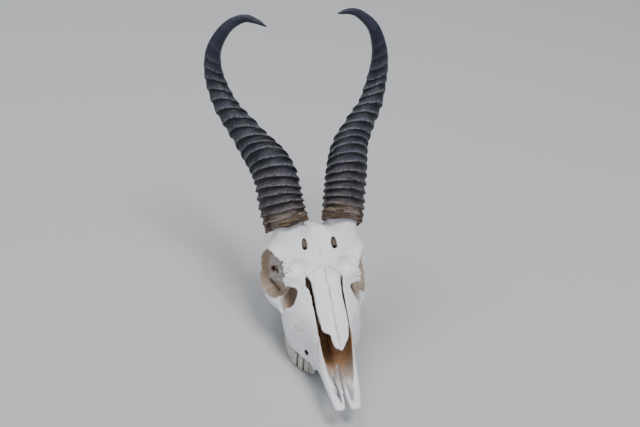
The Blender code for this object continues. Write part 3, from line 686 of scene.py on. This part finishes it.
def tear_pits(side):
    """The two hollows that meet in the pit in front of an eye."""
    return (ball(sided((31.0, 113.5, 53.5), side), (9.5, 6.6, 12.5), sided((0.85, -0.4, 0.1), side)),
            ball(sided((28.4, 108.6, 57.6), side), (7.5, 6.5, 8.8), sided((0.8, -0.5, 0.3), side)))


def eye_socket(side):
    """Centre of an eye socket, and its directions outward and backward."""
    return sided(SOCKET_CENTRE, side), sided(SOCKET_OUTWARD, side), sided(SOCKET_BACKWARD, side)


def socket_hollows(side, grow=0.0):
    """The two balls that hollow out an eye socket, or a little more than it."""
    centre, outward, backward = eye_socket(side)
    return [ball(centre + outward * out + backward * back, np.array(radii) + grow, outward)
            for out, back, radii in SOCKET_HOLLOWS]


bone = Field(SKULL_LOW, SKULL_HIGH, SKULL_STEP)
bone.add(lofted(BODY_STATIONS), 0.5)
for side_name, side in SIDES:
    socket_centre, outward, backward = eye_socket(side)
    for centre, radii, blend in SWELLINGS:
        bone.add(ball(sided(centre, side), radii), blend)
    bone.add(bar(HORN_STUMP, side), 6.0)
    bone.add(bar(SOCKET_FLOOR, side), 3.0)
    bone.add(ring(socket_centre, outward, SOCKET_RADIUS, SOCKET_RIM), 3.0)
    bone.add(bar(CHEEK_ARCH, side), 4.0)
    bone.add(bar(BAR_BEHIND_EYE, side), 4.0)
    bone.add(bar(PREMAXILLA_OUTER, side), 1.5)
    bone.add(bar(PREMAXILLA_INNER, side), 1.0)
    for centre, radii, blend in (CONDYLE, EAR_BULLA):
        bone.add(ball(sided(centre, side), radii), blend)
    bone.add(bar(OCCIPUT_PROCESS, side), 3.0)
    bone.add(bar(PTERYGOID_PLATE, side), 2.0)
    bone.add(bar(TOOTH_RIDGE, side), 3.5)
bone.add(bar(SKULL_BASE), 4.0)
bone.add(bar(NAPE_CREST), 3.0)
bone.take(lofted(CAVITY_STATIONS), 1.0)
bone.add(nasal_bones(), 0.6)
bone.add(bar(AIRWAY_KEEL), 2.0)
bone.take(bar(PALATE_HOLLOW), 2.0)
centre, radii, blend = BRAIN_OPENING
bone.take(ball(centre, radii), blend)

for side_name, side in SIDES:
    socket_centre, outward, backward = eye_socket(side)
    for hollow in socket_hollows(side):
        bone.take(hollow, 0.8)
    for (along, back, up), radius in SOCKET_LUMPS:
        bone.add(ball((side * along - outward[0] * 4.2, back, up), (radius, radius, radius)), 4.5)
    for centre, radius in SOCKET_HOLES:
        bone.take(ball(sided(centre, side), (6.0, radius, radius), outward), 0.8)
    centre, radii, blend = HOLLOW_BEHIND_EYE
    bone.take(ball(sided(centre, side), radii), blend)
    bone.take(rod(mirror(NASAL_SLIT, side), [(half, 2.5, 6) for half in NASAL_SLIT_HALF[side]]), 0.3)
    bone.take(bar(SLIT_HIND_END, side), 0.3)
    bone.take(bar(PALATE_SLITS[side], side), 0.4)
    for pit in tear_pits(side):
        bone.take(pit, 2.4)
    bone.take(ball(sided(CHEEK_HOLE, side), (6.0, 2.1, 1.9), sided((0.8, -0.6, 0.2), side)), 0.8)
    centre, radii, blend = BROW_HOLE
    bone.take(ball(sided(centre, side), radii), blend)
    bone.take(bar(BROW_CHANNEL, side), 0.5)
    # Under the cheek the jaw's edge is drawn up, so that the crowns stand clear of it
    bone.take(bar(JAW_EDGE, side), 2.0)
    for centre, radii, blend in NASAL_DENTS:
        bone.take(ball(sided(centre, side), radii), blend)
    for facts in TEETH:
        bone.take(tooth_shape(facts, side, SOCKET_GAP), 0.5)
bone.take(bar(MIDDLE_SLIT), 0.4)

x, y, z = np.meshgrid(*bone.axes, indexing="ij", sparse=True)
near = np.abs(bone.value) < 3.0
spots = np.stack([np.broadcast_to(a, bone.value.shape)[near] for a in (x, y, z)], axis=1).astype(float)


def ease_in(values, low, high):
    t = np.clip((values - low) / (high - low), 0, 1)
    return t * t * (3 - 2 * t)


def near_line(points, line):
    """Distance of each point from a jointed line."""
    line = np.array(line, float)
    best = np.full(len(points), 99.0)
    for a, b in zip(line, line[1:]):
        run = b - a
        share = np.clip((points - a) @ run / (run @ run), 0, 1)
        best = np.minimum(best, np.linalg.norm(points - a - share[:, None] * run, axis=1))
    return best


def crumbled(points):
    """One along the crumbling front rims of the eye sockets, nought a little way off."""
    rims = [near_line(points, mirror(CRUMBLED_RIM, side)) for side_name, side in SIDES]
    return ease_in(7.0 - np.min(rims, axis=0), 0.0, 4.0)


crusty = crumbled(spots)
rough = 0.30 * lumps(spots, 9.0, 3) + 0.18 * lumps(spots, 3.6, 4) + 0.10 * lumps(spots, 1.7, 5)
rough += crusty * (1.1 * lumps(spots, 2.6, 6) + 0.8 * lumps(spots, 1.5, 7))
bone.value[near] += rough.astype(np.float32)
bone.value = np.maximum(bone.value, -z)

points, faces = bone.surface()
skull = surface_piece("bleached_skull", points, faces)
thinned = skull.modifiers.new("thin_out", "DECIMATE")
thinned.ratio = SKULL_TRIANGLES / (2 * len(faces))
made_plain(skull)
skull.data.shade_smooth()
places = np.empty(3 * len(skull.data.vertices))
skull.data.vertices.foreach_get("co", places)
points = places.reshape(-1, 3) / MM + PLAN_ORIGIN
px, py, pz = points.T
wobble = lumps(points, 2.6, 8)
streaks = lumps(points * (1.0, 0.25, 0.6), 1.6, 12)
# Masks of the bone's colour: its own stains, tan and seams, and painted shade in holes, cracks, slits, pits
# and the eye sockets
masks = {name: np.zeros(len(points)) for name in ("stain", "tan", "suture", "dark", "grey")}


def lay(name, amount):
    """Strengthens a mask wherever the amount is above it."""
    masks[name] = np.maximum(masks[name], amount)


# The nose's lining, and light stains on the crumbled rims and the tip of the muzzle
airway = ease_in(-lofted(CAVITY_STATIONS).distance(px, py, pz), -1.3, -0.2)
depth = ease_in(py + 5 * streaks + 0.25 * (pz - 30), 34, 60)
plate_top = through(NASAL_RIDGE, np.clip(py, 42, 117)) - NASAL_ARCH * (px / 12.0) ** 2
hidden = np.where(py > 41, ease_in(plate_top - pz, 1.3, 2.6), 1.0)
lay("stain", airway * depth * hidden)
lay("tan", airway * ease_in(py + 6 * streaks, 14, 42) * 0.8 * hidden)
lay("tan", 0.75 * crumbled(points) * ease_in(lumps(points, 1.3, 15), 0.30, 0.55))
lay("tan", 0.16 * ease_in(14.0 - np.linalg.norm(points - (7.5, 6.0, 24.0), axis=1), 0.0, 8.0))

sunk = lofted(BODY_STATIONS).distance(px, py, pz)
for side_name, side in SIDES:
    # Eye socket, with its nerve holes and cracks: tan stain behind and below, painted shade on its inner
    # walls and in the holes and cracks
    centre, outward, backward = eye_socket(side)
    hollow = np.min([shape.distance(px, py, pz) for shape in socket_hollows(side, 0.6)], axis=0)
    lateral = (points - centre) @ outward
    inside = ease_in(-hollow, -1.0, 0.2) * ease_in(-lateral, -4.5, -1.5)
    behind = ease_in((points - centre) @ backward, 5.0, 9.0) * ease_in(lateral + 1.4 * wobble, -9.5, -7.0)
    below = ease_in(centre[2] - 11 - pz + 2 * wobble, 0, 4) * ease_in(lateral + 1.4 * wobble, -13.5, -10.0)
    lay("tan", inside * np.maximum(behind, 0.8 * below))
    # Grey painted shade on the socket's inner walls in front of the tan
    lay("grey", inside * (1 - behind))
    for place, radius in SOCKET_HOLES:
        reach = np.linalg.norm(points - sided(place, side), axis=1) + 0.7 * wobble
        lay("dark", ease_in(radius + 1.3 - reach, 0.0, 1.6))
        lay("stain", 0.7 * ease_in(radius + 3.4 - reach, 0.0, 3.0))
    for crack in SOCKET_CRACKS:
        reach = near_line(points, mirror(crack, side)) + 0.4 * wobble
        lay("dark", ease_in(1.3 - reach, 0.0, 0.8))
        lay("dark", 0.35 * ease_in(2.8 - reach, 0.0, 2.4))
        lay("stain", 0.5 * ease_in(3.0 - reach, 0.0, 2.4))

    # Pit in front of the eye: brown and tan stain on its wall, and painted shade that deepens towards its
    # inner side
    pit = np.min([shape.distance(px, py, pz) for shape in tear_pits(side)], axis=0)
    pit_wall = ease_in(1.3 - pit, 0.0, 1.0) * (py < 122)
    pit_wall *= 1 - ease_in(np.abs(px) + 1.5 * wobble, 32.5, 36.5)
    lay("stain", 0.5 * pit_wall * ease_in(34.5 - np.abs(px) + 2.0 * wobble, 0.0, 5.5))
    lay("dark", 0.62 * pit_wall * ease_in(33.0 - np.abs(px) + 1.5 * wobble, 0.0, 7.0))
    lay("tan", 0.75 * pit_wall)

    # Holes of brow and cheek, and the slit beside the nasal bones: tan in the brow hole and the slit, and
    # painted shade in the cheek hole, on one side of the brow hole and in the slit behind its front end
    hole = ball(sided(BROW_HOLE[0], side), BROW_HOLE[1]).distance(px, py, pz)
    channel = near_line(points, mirror(BROW_CHANNEL, side))
    brow = np.maximum(ease_in(0.8 - hole, 0.0, 0.9), ease_in(3.2 - channel, 0.0, 1.0))
    brow *= ease_in(97.0 + 0.33 * (py - 137.0) - pz, 2.2, 3.4)
    lay("tan", brow)
    lay("dark", brow * ease_in(3.6 - (px - side * 13.4) - 0.35 * (py - 137.0), 0.0, 3.4))
    lay("dark", ease_in(3.4 - near_line(points, mirror(CHEEK_CHANNEL, side)), 0.0, 1.2))
    gap = near_line(points * (1, 1, 0.25), [(a, b, c / 4) for a, b, c in mirror(NASAL_SLIT, side)])
    within = ease_in(2.9 - gap, 0.0, 0.7) * ease_in(-sunk, 0.5, 1.5)
    lay("dark", SLIT_SHADE_STRENGTH[side] * within * ease_in(py, 66.0, 72.0))
    lay("tan", within)

# Seams between the bones: those of the middle and of one side only, and those that both sides have.
SUTURES = (
    ((-0.8, 150, 98), (-0.7, 141.5, 94.5), (0.1, 134.8, 91.5), (-0.6, 127.3, 88.1), (0.5, 120.8, 85.0),
     (1.2, 114, 82)),
    ((0.8, 44, 53), (0.8, 80, 68.3), (0.8, 114, 82.5)),
    ((-4, 152, 98.5), (-2.5, 144, 95.5), (-1.2, 136, 92)),
    ((-28.5, 89.8, 43.8), (-26.5, 84, 42.6), (-23.4, 78.7, 44.7)),
    ((-20, 180, 82), (0, 178, 90), (20, 180, 82)),
)
PAIRED_SUTURES = (
    ((33.6, 107.1, 41.9), (32.0, 101, 41), (30.3, 95, 44.2)),
    ((3, 117, 83.5), (6, 115.5, 82.5), (10, 114, 80), (13.5, 112, 77)),
    ((17, 117, 77.5), (21, 115, 74), (26, 115, 72), (31, 117, 70)),
    ((35, 126, 44), (33, 118, 42), (30, 108, 40), (29, 100, 34)),
    ((14.5, 60, 52), (16, 52, 40), (16.5, 44, 32), (16, 38, 24)),
    ((18, 170, 88), (26, 176, 76), (31, 180, 62)),
)
for line in SUTURES + tuple(mirror(line, side) for line in PAIRED_SUTURES for side_name, side in SIDES):
    lay("suture", ease_in(1.15 - near_line(points + 0.8 * wobble[:, None], line), 0.0, 0.8))
for name, values in masks.items():
    store(skull.data, name, np.clip(values, 0, 1))

BONE_WHITE = (0.88, 0.885, 0.92)
BONE_COOL = (0.80, 0.80, 0.83)
BONE_MOTTLE = (0.64, 0.59, 0.53)
BONE_PORES = (0.50, 0.44, 0.38)
# Greys painted as shade on the inner walls of the eye sockets
SOCKET_SHADE_GREYS = ((0.26, 0.235, 0.21), (0.55, 0.53, 0.50))
BONE_TAN = (0.33, 0.22, 0.13)
NOSE_BROWN = ((0.27, 0.145, 0.070), (0.48, 0.285, 0.155))
SEAM_BROWN = (0.33, 0.25, 0.17)
# Near black painted as shade into holes, cracks, slits and pits
PAINTED_HOLE_SHADE = (0.022, 0.013, 0.008)

bleached = Finish("bleached_bone")
spot = bleached.place()
cloud = bleached.noise(spot, 16.0, 5.0)
mottle = bleached.noise(spot, 3.2, 5.0)
pores = bleached.noise(spot, 0.55, 3.0)
grain = bleached.noise(bleached.place((1.0, 0.22, 1.0)), 0.9, 4.0)
stained, tanned, seamed, shaded_holes, shaded_socket_walls = (
    bleached.attribute(name) for name in ("stain", "tan", "suture", "dark", "grey"))
shade = bleached.mix(cloud.between(0.38, 0.66), BONE_WHITE, BONE_COOL)
shade = bleached.mix(mottle.between(0.58, 0.78) * 0.28, shade, BONE_MOTTLE)
shade = bleached.mix(pores.between(0.62, 0.76) * 0.25, shade, BONE_PORES)
# Painted shade inside the eye sockets
shade = bleached.mix(shaded_socket_walls * 0.8, shade, bleached.mix(mottle.between(0.35, 0.65), *SOCKET_SHADE_GREYS))
shade = bleached.mix(tanned * (grain.between(0.15, 0.75) * 0.35 + 0.65), shade, BONE_TAN)
shade = bleached.mix(stained, shade, bleached.mix(grain.between(0.3, 0.7), *NOSE_BROWN))
shade = bleached.mix(seamed * mottle.between(0.2, 0.55) * 0.62, shade, SEAM_BROWN)
# Painted shade in the holes, cracks, slits and pits
shade = bleached.mix(shaded_holes * 0.92, shade, PAINTED_HOLE_SHADE)
bleached.set(Base_Color=shade, Roughness=mottle.between(0.2, 0.8) * 0.18 + 0.52, Specular_IOR_Level=0.32)
relief = bleached.bump(cloud + mottle * 0.4, 0.9, 0.35)
relief = bleached.bump(pores * 0.5 + grain * 0.5 - seamed * 0.8, 0.30, 0.55, relief)
bleached.set(Normal=relief)
skull.data.materials.append(bleached.material)
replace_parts(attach(skull, "root"), "skull")


# Horn sheaths
# Keratin sheaths, one over each bony stump, grown ring by ring from the base: crowded, flaking rings
# by the skull, wider ones further up and a smooth dark tip that hooks inwards. Each ring is undercut
# towards the skull. Its colour has painted shade in the undercut, a painted highlight and bluish sheen
# along the crest, and a painted bluish sky reflection on the tip.
RIGHT_HORN_LINE = (
    (-25, 157.5, 99.5), (-29, 169.5, 115.5), (-31.5, 185.5, 133), (-36, 199.5, 142),
    (-42.5, 215.5, 148), (-53.5, 234, 158.5), (-67.5, 252, 174.5), (-76, 264, 193.5),
    (-79, 267.3, 212), (-76.5, 266.8, 229), (-66.5, 264.5, 246.5), (-53, 261.5, 255),
    (-42, 256.5, 254), (-34, 251.5, 251),
)
LEFT_HORN_LINE = (
    (25, 158, 101), (28, 169, 115), (32.5, 185, 132), (36.5, 199.5, 142),
    (42.5, 216.5, 149.5), (54.5, 234.5, 160), (68, 251, 173.5), (75.2, 262.3, 190),
    (77.6, 265.7, 209), (75.3, 265.3, 226), (67.5, 263, 244.5), (55, 262.5, 256.5),
    (44, 259.5, 261.3), (31.5, 255, 261.3),
)

# By distance from the base: diameter, and further down how far the rings slope across the horn
HORN_DIAMETERS = ((0, 37.0), (20, 37.5), (44, 36.5), (68, 33), (100, 26.6), (126, 22.6), (150, 19.3),
                  (172, 16.0), (196, 12.6), (222, 8.8), (236, 6.2), (245, 4.0), (251, 1.2))
FIRST_RING = 7.0
RING_COUNT = 20
RING_SPACING = 6.4
RING_SPACING_GROWTH = 0.25
RING_SPACING_SWELL = 4.0
RING_SWELL_PLACE = 11
RING_SWELL_SPREAD = 2.5
CROWDED_RINGS = 3
RING_HEIGHT = 2.1
SHALLOW_RING = 17
HEIGHT_LOST = 0.72
RINGS_FADE_OVER = 48
CROWDED_HEIGHT = 0.62
RING_SLOPE = ((0, 0.0), (22, 0.05), (60, 0.36), (95, 0.80), (130, 0.80), (165, 0.62), (190, 0.50), (230, 0.0))
RING_WAVINESS = 0.22
FLAKING = 1.6
FRAYING = 12.0
HORN_STEP = 0.7
HORN_SIDES = 84
OVAL = 0.12
OVAL_END = 140.0
OVAL_TURN = math.radians(42)
HORN_BLACK = ((0.010, 0.011, 0.019), (0.030, 0.032, 0.048))
HORN_DUST = (0.085, 0.080, 0.082)
HORN_BROWN = (0.060, 0.041, 0.033)
# The dark charcoal tip, with a painted bluish sky reflection
TIP_BLUE_SHEEN = (0.018, 0.023, 0.044)
# Painted shade in the hollow under each ring's crest
UNDERCUT_SHADE_BLACK = (0.003, 0.003, 0.005)
# Painted sheen: a bluish grey band along each crest
CREST_SHEEN_GREY = (0.098, 0.098, 0.132)
# Painted highlight along each ring's crest
CREST_HIGHLIGHT_PALE = (0.26, 0.25, 0.25)
CRUST_BROWN = ((0.030, 0.020, 0.014), (0.23, 0.155, 0.10))
CRUST_PALE = (0.24, 0.20, 0.185)


def ring_places():
    """(distance from the base, ring number) of every ring's crest, the crowded ones below nought."""
    places = [(FIRST_RING * (k + 0.3) / (CROWDED_RINGS + 0.3), k - CROWDED_RINGS)
              for k in range(CROWDED_RINGS)]
    crest = FIRST_RING
    for number in range(RING_COUNT + 1):
        places.append((crest, number))
        crest += (RING_SPACING + RING_SPACING_GROWTH * number
                  + RING_SPACING_SWELL * math.exp(-((number - RING_SWELL_PLACE) / RING_SWELL_SPREAD) ** 2))
    return places


def horn_line(name, points, side):
    """The sheath's centre line as a mesh of short edges that carries its sizes as attributes."""
    coarse = through(list(enumerate(np.array(points, float))), np.linspace(0, len(points) - 1, 400))
    walked = np.concatenate([[0], np.cumsum(np.linalg.norm(np.diff(coarse, axis=0), axis=1))])
    count = int(walked[-1] / HORN_STEP) + 1
    distance = np.linspace(0, walked[-1], count)
    centre = np.stack([np.interp(distance, walked, coarse[:, i]) for i in range(3)], axis=1)
    heading = np.gradient(centre, axis=0)
    heading /= np.linalg.norm(heading, axis=1)[:, None]
    long_axis = np.array([side * math.cos(OVAL_TURN), math.sin(OVAL_TURN), 0.0])
    long_axis = long_axis - (heading @ long_axis)[:, None] * heading
    long_axis /= np.linalg.norm(long_axis, axis=1)[:, None]
    crests = np.array(ring_places())
    number = np.interp(distance, crests[:, 0], crests[:, 1], left=-CROWDED_RINGS - 0.4, right=RING_COUNT)
    last = crests[-1, 0]
    height = RING_HEIGHT * (1 - HEIGHT_LOST * np.clip(number / SHALLOW_RING, 0, 1) ** 2)
    height *= 1 - ease_in(distance, last - RINGS_FADE_OVER, last)
    height *= np.where(number < 0, CROWDED_HEIGHT, 1.0)
    mesh = bpy.data.meshes.new(name)
    mesh.from_pydata(((centre - PLAN_ORIGIN) * MM).tolist(), [(i, i + 1) for i in range(count - 1)], [])
    store(mesh, "girth", np.interp(distance, *np.array(HORN_DIAMETERS).T) / 2 * MM)
    store(mesh, "ring_number", number)
    store(mesh, "ring_height", height * MM)
    store(mesh, "oval", OVAL * np.clip(1 - distance / OVAL_END, 0, 1))
    store(mesh, "slope", side * np.interp(distance, *np.array(RING_SLOPE).T))
    store(mesh, "age", 1 - distance / walked[-1])
    store(mesh, "centre", (centre - PLAN_ORIGIN) * MM)
    store(mesh, "long_axis", long_axis)
    store(mesh, "heading", heading)
    piece = bpy.data.objects.new(name, mesh)
    bpy.context.scene.collection.objects.link(piece)
    return piece


def ringed_sheath():
    """Node tree that grows a ringed, oval sheath along a line which carries its sizes."""
    tree = bpy.data.node_groups.new("ringed_sheath", "GeometryNodeTree")
    for name, kind in (("Line", "Geometry"), ("Sides", "Int"), ("Waviness", "Float"), ("Flaking", "Float"),
                       ("Fraying", "Float"), ("Seed", "Float"), ("Finish", "Material")):
        tree.interface.new_socket(name, in_out="INPUT", socket_type="NodeSocket" + kind)
    tree.interface.new_socket("Sheath", in_out="OUTPUT", socket_type="NodeSocketGeometry")
    nodes = Nodes(tree)
    given = {socket.name: Value(nodes, socket) for socket in tree.nodes.new("NodeGroupInput").outputs}

    def named(name, kind="FLOAT"):
        return nodes.node("GeometryNodeInputNamedAttribute", {"data_type": kind}, {"Name": name}, "Attribute")

    def vectors(operation, first, second, output=0):
        key = "Scale" if operation == "SCALE" else 1
        return nodes.node("ShaderNodeVectorMath", {"operation": operation}, {0: first, key: second}, output)

    def noise(scale, detail):
        return nodes.node("ShaderNodeTexNoise", {"noise_dimensions": "4D"},
                          {"Vector": spot, "W": given["Seed"], "Scale": scale, "Detail": detail})

    # The tube, and how far each of its points lies from the line
    line = nodes.node("GeometryNodeMeshToCurve", {}, {"Mesh": given["Line"]})
    circle = nodes.node("GeometryNodeCurvePrimitiveCircle", {}, {"Resolution": given["Sides"], "Radius": 1.0})
    tube = nodes.node("GeometryNodeCurveToMesh", {}, {"Curve": line, "Profile Curve": circle,
                                                      "Scale": named("girth"), "Fill Caps": True})
    spot = nodes.node("GeometryNodeInputPosition", {}, {})
    centre, long_axis, heading = (named(name, "FLOAT_VECTOR") for name in ("centre", "long_axis", "heading"))
    arm = vectors("SUBTRACT", spot, centre)
    along = vectors("DOT_PRODUCT", arm, long_axis, 1)
    oval = named("oval")
    arm = vectors("ADD", vectors("SCALE", arm, 1.0 - oval), vectors("SCALE", long_axis, along * 2.0 * oval))
    outward = nodes.node("ShaderNodeVectorMath", {"operation": "NORMALIZE"}, {0: arm})
    lean = vectors("SCALE", heading, nodes.node("ShaderNodeSeparateXYZ", {}, {0: arm}) * named("slope"))

    # Rings, flakes near the base and the frayed edge
    wide, fine = noise(55.0, 2.0), noise(420.0, 3.0)
    number = named("ring_number") + (wide - 0.5) * given["Waviness"] * 2.6
    share = nodes.node("ShaderNodeMath", {"operation": "FRACT"}, {0: number + 8.0})
    crest = nodes.node("ShaderNodeMath", {"operation": "MAXIMUM"},
                       {0: 1.0 - share.between(0.0, 0.72), 1: share.between(0.86, 1.0)}) - 0.46
    rise = crest * (wide * 0.45 + 0.75) * named("ring_height")
    flake = (fine - 0.5) * given["Flaking"] * (named("age").between(0.90, 0.985) + 0.10)
    frayed = named("age").between(0.975, 0.999) * (wide - 0.42) * given["Fraying"]
    relief = vectors("ADD", vectors("SCALE", outward, rise + flake), vectors("SCALE", heading, frayed))
    moved = vectors("ADD", vectors("ADD", vectors("ADD", centre, arm), lean), relief)
    sheath = nodes.node("GeometryNodeSetPosition", {}, {"Geometry": tube, "Position": moved})
    for name, value in (("share", share), ("number", number)):
        sheath = nodes.node("GeometryNodeStoreNamedAttribute", {"data_type": "FLOAT", "domain": "POINT"},
                            {"Geometry": sheath, "Name": name, "Value": value})
    sheath = nodes.node("GeometryNodeSetShadeSmooth", {}, {0: sheath})
    sheath = nodes.node("GeometryNodeRealizeInstances", {}, {0: sheath})
    sheath = nodes.node("GeometryNodeSetMaterial", {}, {"Geometry": sheath, "Material": given["Finish"]})
    tree.links.new(sheath.socket, tree.nodes.new("NodeGroupOutput").inputs[0])
    return tree


keratin = Finish("ringed_keratin")
spot = keratin.place()
cloud = keratin.noise(spot, 14.0, 4.0)
mottle = keratin.noise(spot, 2.2, 5.0)
fibre = keratin.noise(spot, 0.7, 4.0)
age, share, number = (keratin.attribute(name) for name in ("age", "share", "number"))
layer_height = keratin.node("ShaderNodeCombineXYZ", {}, {"Z": number * 2.4})
layers = keratin.noise(keratin.node("ShaderNodeVectorMath", {"operation": "ADD"},
                                    {0: keratin.place((0.09, 0.09, 0.09)), 1: layer_height}), 1.0, 5.0, 0.62)
young = (age + mottle * 0.02).between(0.935, 0.985)
old = 1.0 - age.between(0.20, 0.40)
# Painted highlight: a pale band along each ring's crest, kept off the tip
worn = (1.0 - share.between(0.02, 0.30)) * (1.0 - old)
# Painted shade: near black in the hollow under each crest
undercut_shade = share.between(0.50, 0.86) * (1.0 - old)
# Painted sheen: a broad bluish grey band along each crest
broad_crest_sheen = (1.0 - share.between(0.05, 0.62)) * (1.0 - old * 0.7)
shade = keratin.mix(cloud.between(0.35, 0.65), *HORN_BLACK)
shade = keratin.mix(mottle.between(0.5, 0.75) * 0.45, shade, HORN_DUST)
shade = keratin.mix(age.between(0.76, 0.93) * mottle.between(0.3, 0.6) * 0.7, shade, HORN_BROWN)
# The dark tip, with a painted bluish sky reflection
shade = keratin.mix(old * 0.75, shade, TIP_BLUE_SHEEN)
shade = keratin.mix(undercut_shade * 0.85, shade, UNDERCUT_SHADE_BLACK)
shade = keratin.mix(broad_crest_sheen * mottle.between(0.25, 0.65) * 0.6, shade, CREST_SHEEN_GREY)
shade = keratin.mix(worn * mottle.between(0.35, 0.65) * 0.42, shade, CREST_HIGHLIGHT_PALE)
crust = keratin.mix(layers.between(0.44, 0.62), *CRUST_BROWN)
crust = keratin.mix(cloud.between(0.50, 0.62) * 0.6, crust, CRUST_PALE)
shade = keratin.mix(young * layers.between(0.20, 0.52), shade, crust)
keratin.set(Base_Color=shade, Roughness=mottle.between(0.2, 0.8) * 0.22 + 0.40 - old * 0.08 + young * 0.2,
            Specular_IOR_Level=0.30)
keratin.set(Normal=keratin.bump(mottle * 0.7 + fibre * 0.5 + layers * young * 1.5, 0.45, 0.6))

sheath_tree = ringed_sheath()
inputs = {item.name: item.identifier for item in sheath_tree.interface.items_tree if item.in_out == "INPUT"}
for side_name, side in SIDES:
    horn = horn_line(f"{side_name}_ringed_horn", RIGHT_HORN_LINE if side < 0 else LEFT_HORN_LINE, side)
    grow = horn.modifiers.new("grow", "NODES")
    grow.node_group = sheath_tree
    for name, value in (("Sides", HORN_SIDES), ("Waviness", RING_WAVINESS), ("Flaking", FLAKING * MM),
                        ("Fraying", FRAYING * MM), ("Seed", 3.0 + side), ("Finish", keratin.material)):
        grow[inputs[name]] = value
    made_plain(horn)
    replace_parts(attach(horn, "root"), f"{side_name}_horn")


# Floor, light and camera
# A pale seamless floor, broad soft lights and the camera where the picture was taken from.
CAMERA_TURN, CAMERA_RISE, CAMERA_ROLL = math.radians(-14.486), math.radians(31.495), math.radians(4.46)
CAMERA_TARGET = np.array([23.512, 233.546, 63.768])
CAMERA_DISTANCE = 980.631
IMAGE_WIDTH = 640
FOCAL_PIXELS = 1000.238
SENSOR_WIDTH = 36.0
FLOOR_HALF = 6.0
FLOOR_DROP = 0.0003
PAPER = (0.50, 0.51, 0.52)
SKY = (0.86, 0.90, 0.95, 1.0)
SKY_STRENGTH = 0.42

floor_mesh = bpy.data.meshes.new("floor")
corners = [(x * FLOOR_HALF, y * FLOOR_HALF, 0) for x, y in ((-1, -1), (1, -1), (1, 1), (-1, 1))]
floor_mesh.from_pydata(corners, [], [(0, 1, 2, 3)])
floor = bpy.data.objects.new("floor", floor_mesh)
bpy.context.scene.collection.objects.link(floor)
floor.location.z = cad_box[0][2] - FLOOR_DROP
paper = Finish("pale_floor")
paper.set(Base_Color=PAPER, Roughness=0.8, Specular_IOR_Level=0.2)
floor_mesh.materials.append(paper.material)

for name, place, size, power in (
    ("key", (0.4, -1.0, 2.3), 0.8, 42.0),
    ("fill", (-1.9, -1.0, 1.0), 1.8, 9.0),
    ("top", (-0.4, 0.8, 2.2), 1.0, 22.0),
):
    lamp = bpy.data.lights.new(name, "AREA")
    lamp.size = size
    lamp.energy = power
    light = bpy.data.objects.new(name, lamp)
    light.location = place
    light.rotation_euler = (Vector(place) - Vector((0, 0, 0.1))).to_track_quat("Z", "Y").to_euler()
    bpy.context.scene.collection.objects.link(light)
world = bpy.data.worlds.new("studio")
world.use_nodes = True
backdrop = world.node_tree.nodes["Background"]
backdrop.inputs["Color"].default_value = SKY
backdrop.inputs["Strength"].default_value = SKY_STRENGTH
bpy.context.scene.world = world

back = Vector((math.sin(CAMERA_TURN) * math.cos(CAMERA_RISE),
               -math.cos(CAMERA_TURN) * math.cos(CAMERA_RISE), math.sin(CAMERA_RISE)))
level = Vector((math.cos(CAMERA_TURN), math.sin(CAMERA_TURN), 0))
upward = back.cross(level)
right = level * math.cos(CAMERA_ROLL) + upward * math.sin(CAMERA_ROLL)
up = upward * math.cos(CAMERA_ROLL) - level * math.sin(CAMERA_ROLL)
camera = bpy.data.objects.new("camera", bpy.data.cameras.new("camera"))
camera.data.sensor_width = SENSOR_WIDTH
camera.data.lens = FOCAL_PIXELS / IMAGE_WIDTH * SENSOR_WIDTH
camera.data.clip_start = 0.05
camera.matrix_world = Matrix((right, up, back)).transposed().to_4x4()
camera.location = Vector((CAMERA_TARGET - PLAN_ORIGIN) * MM) + back * CAMERA_DISTANCE * MM
bpy.context.scene.collection.objects.link(camera)
bpy.context.scene.camera = camera
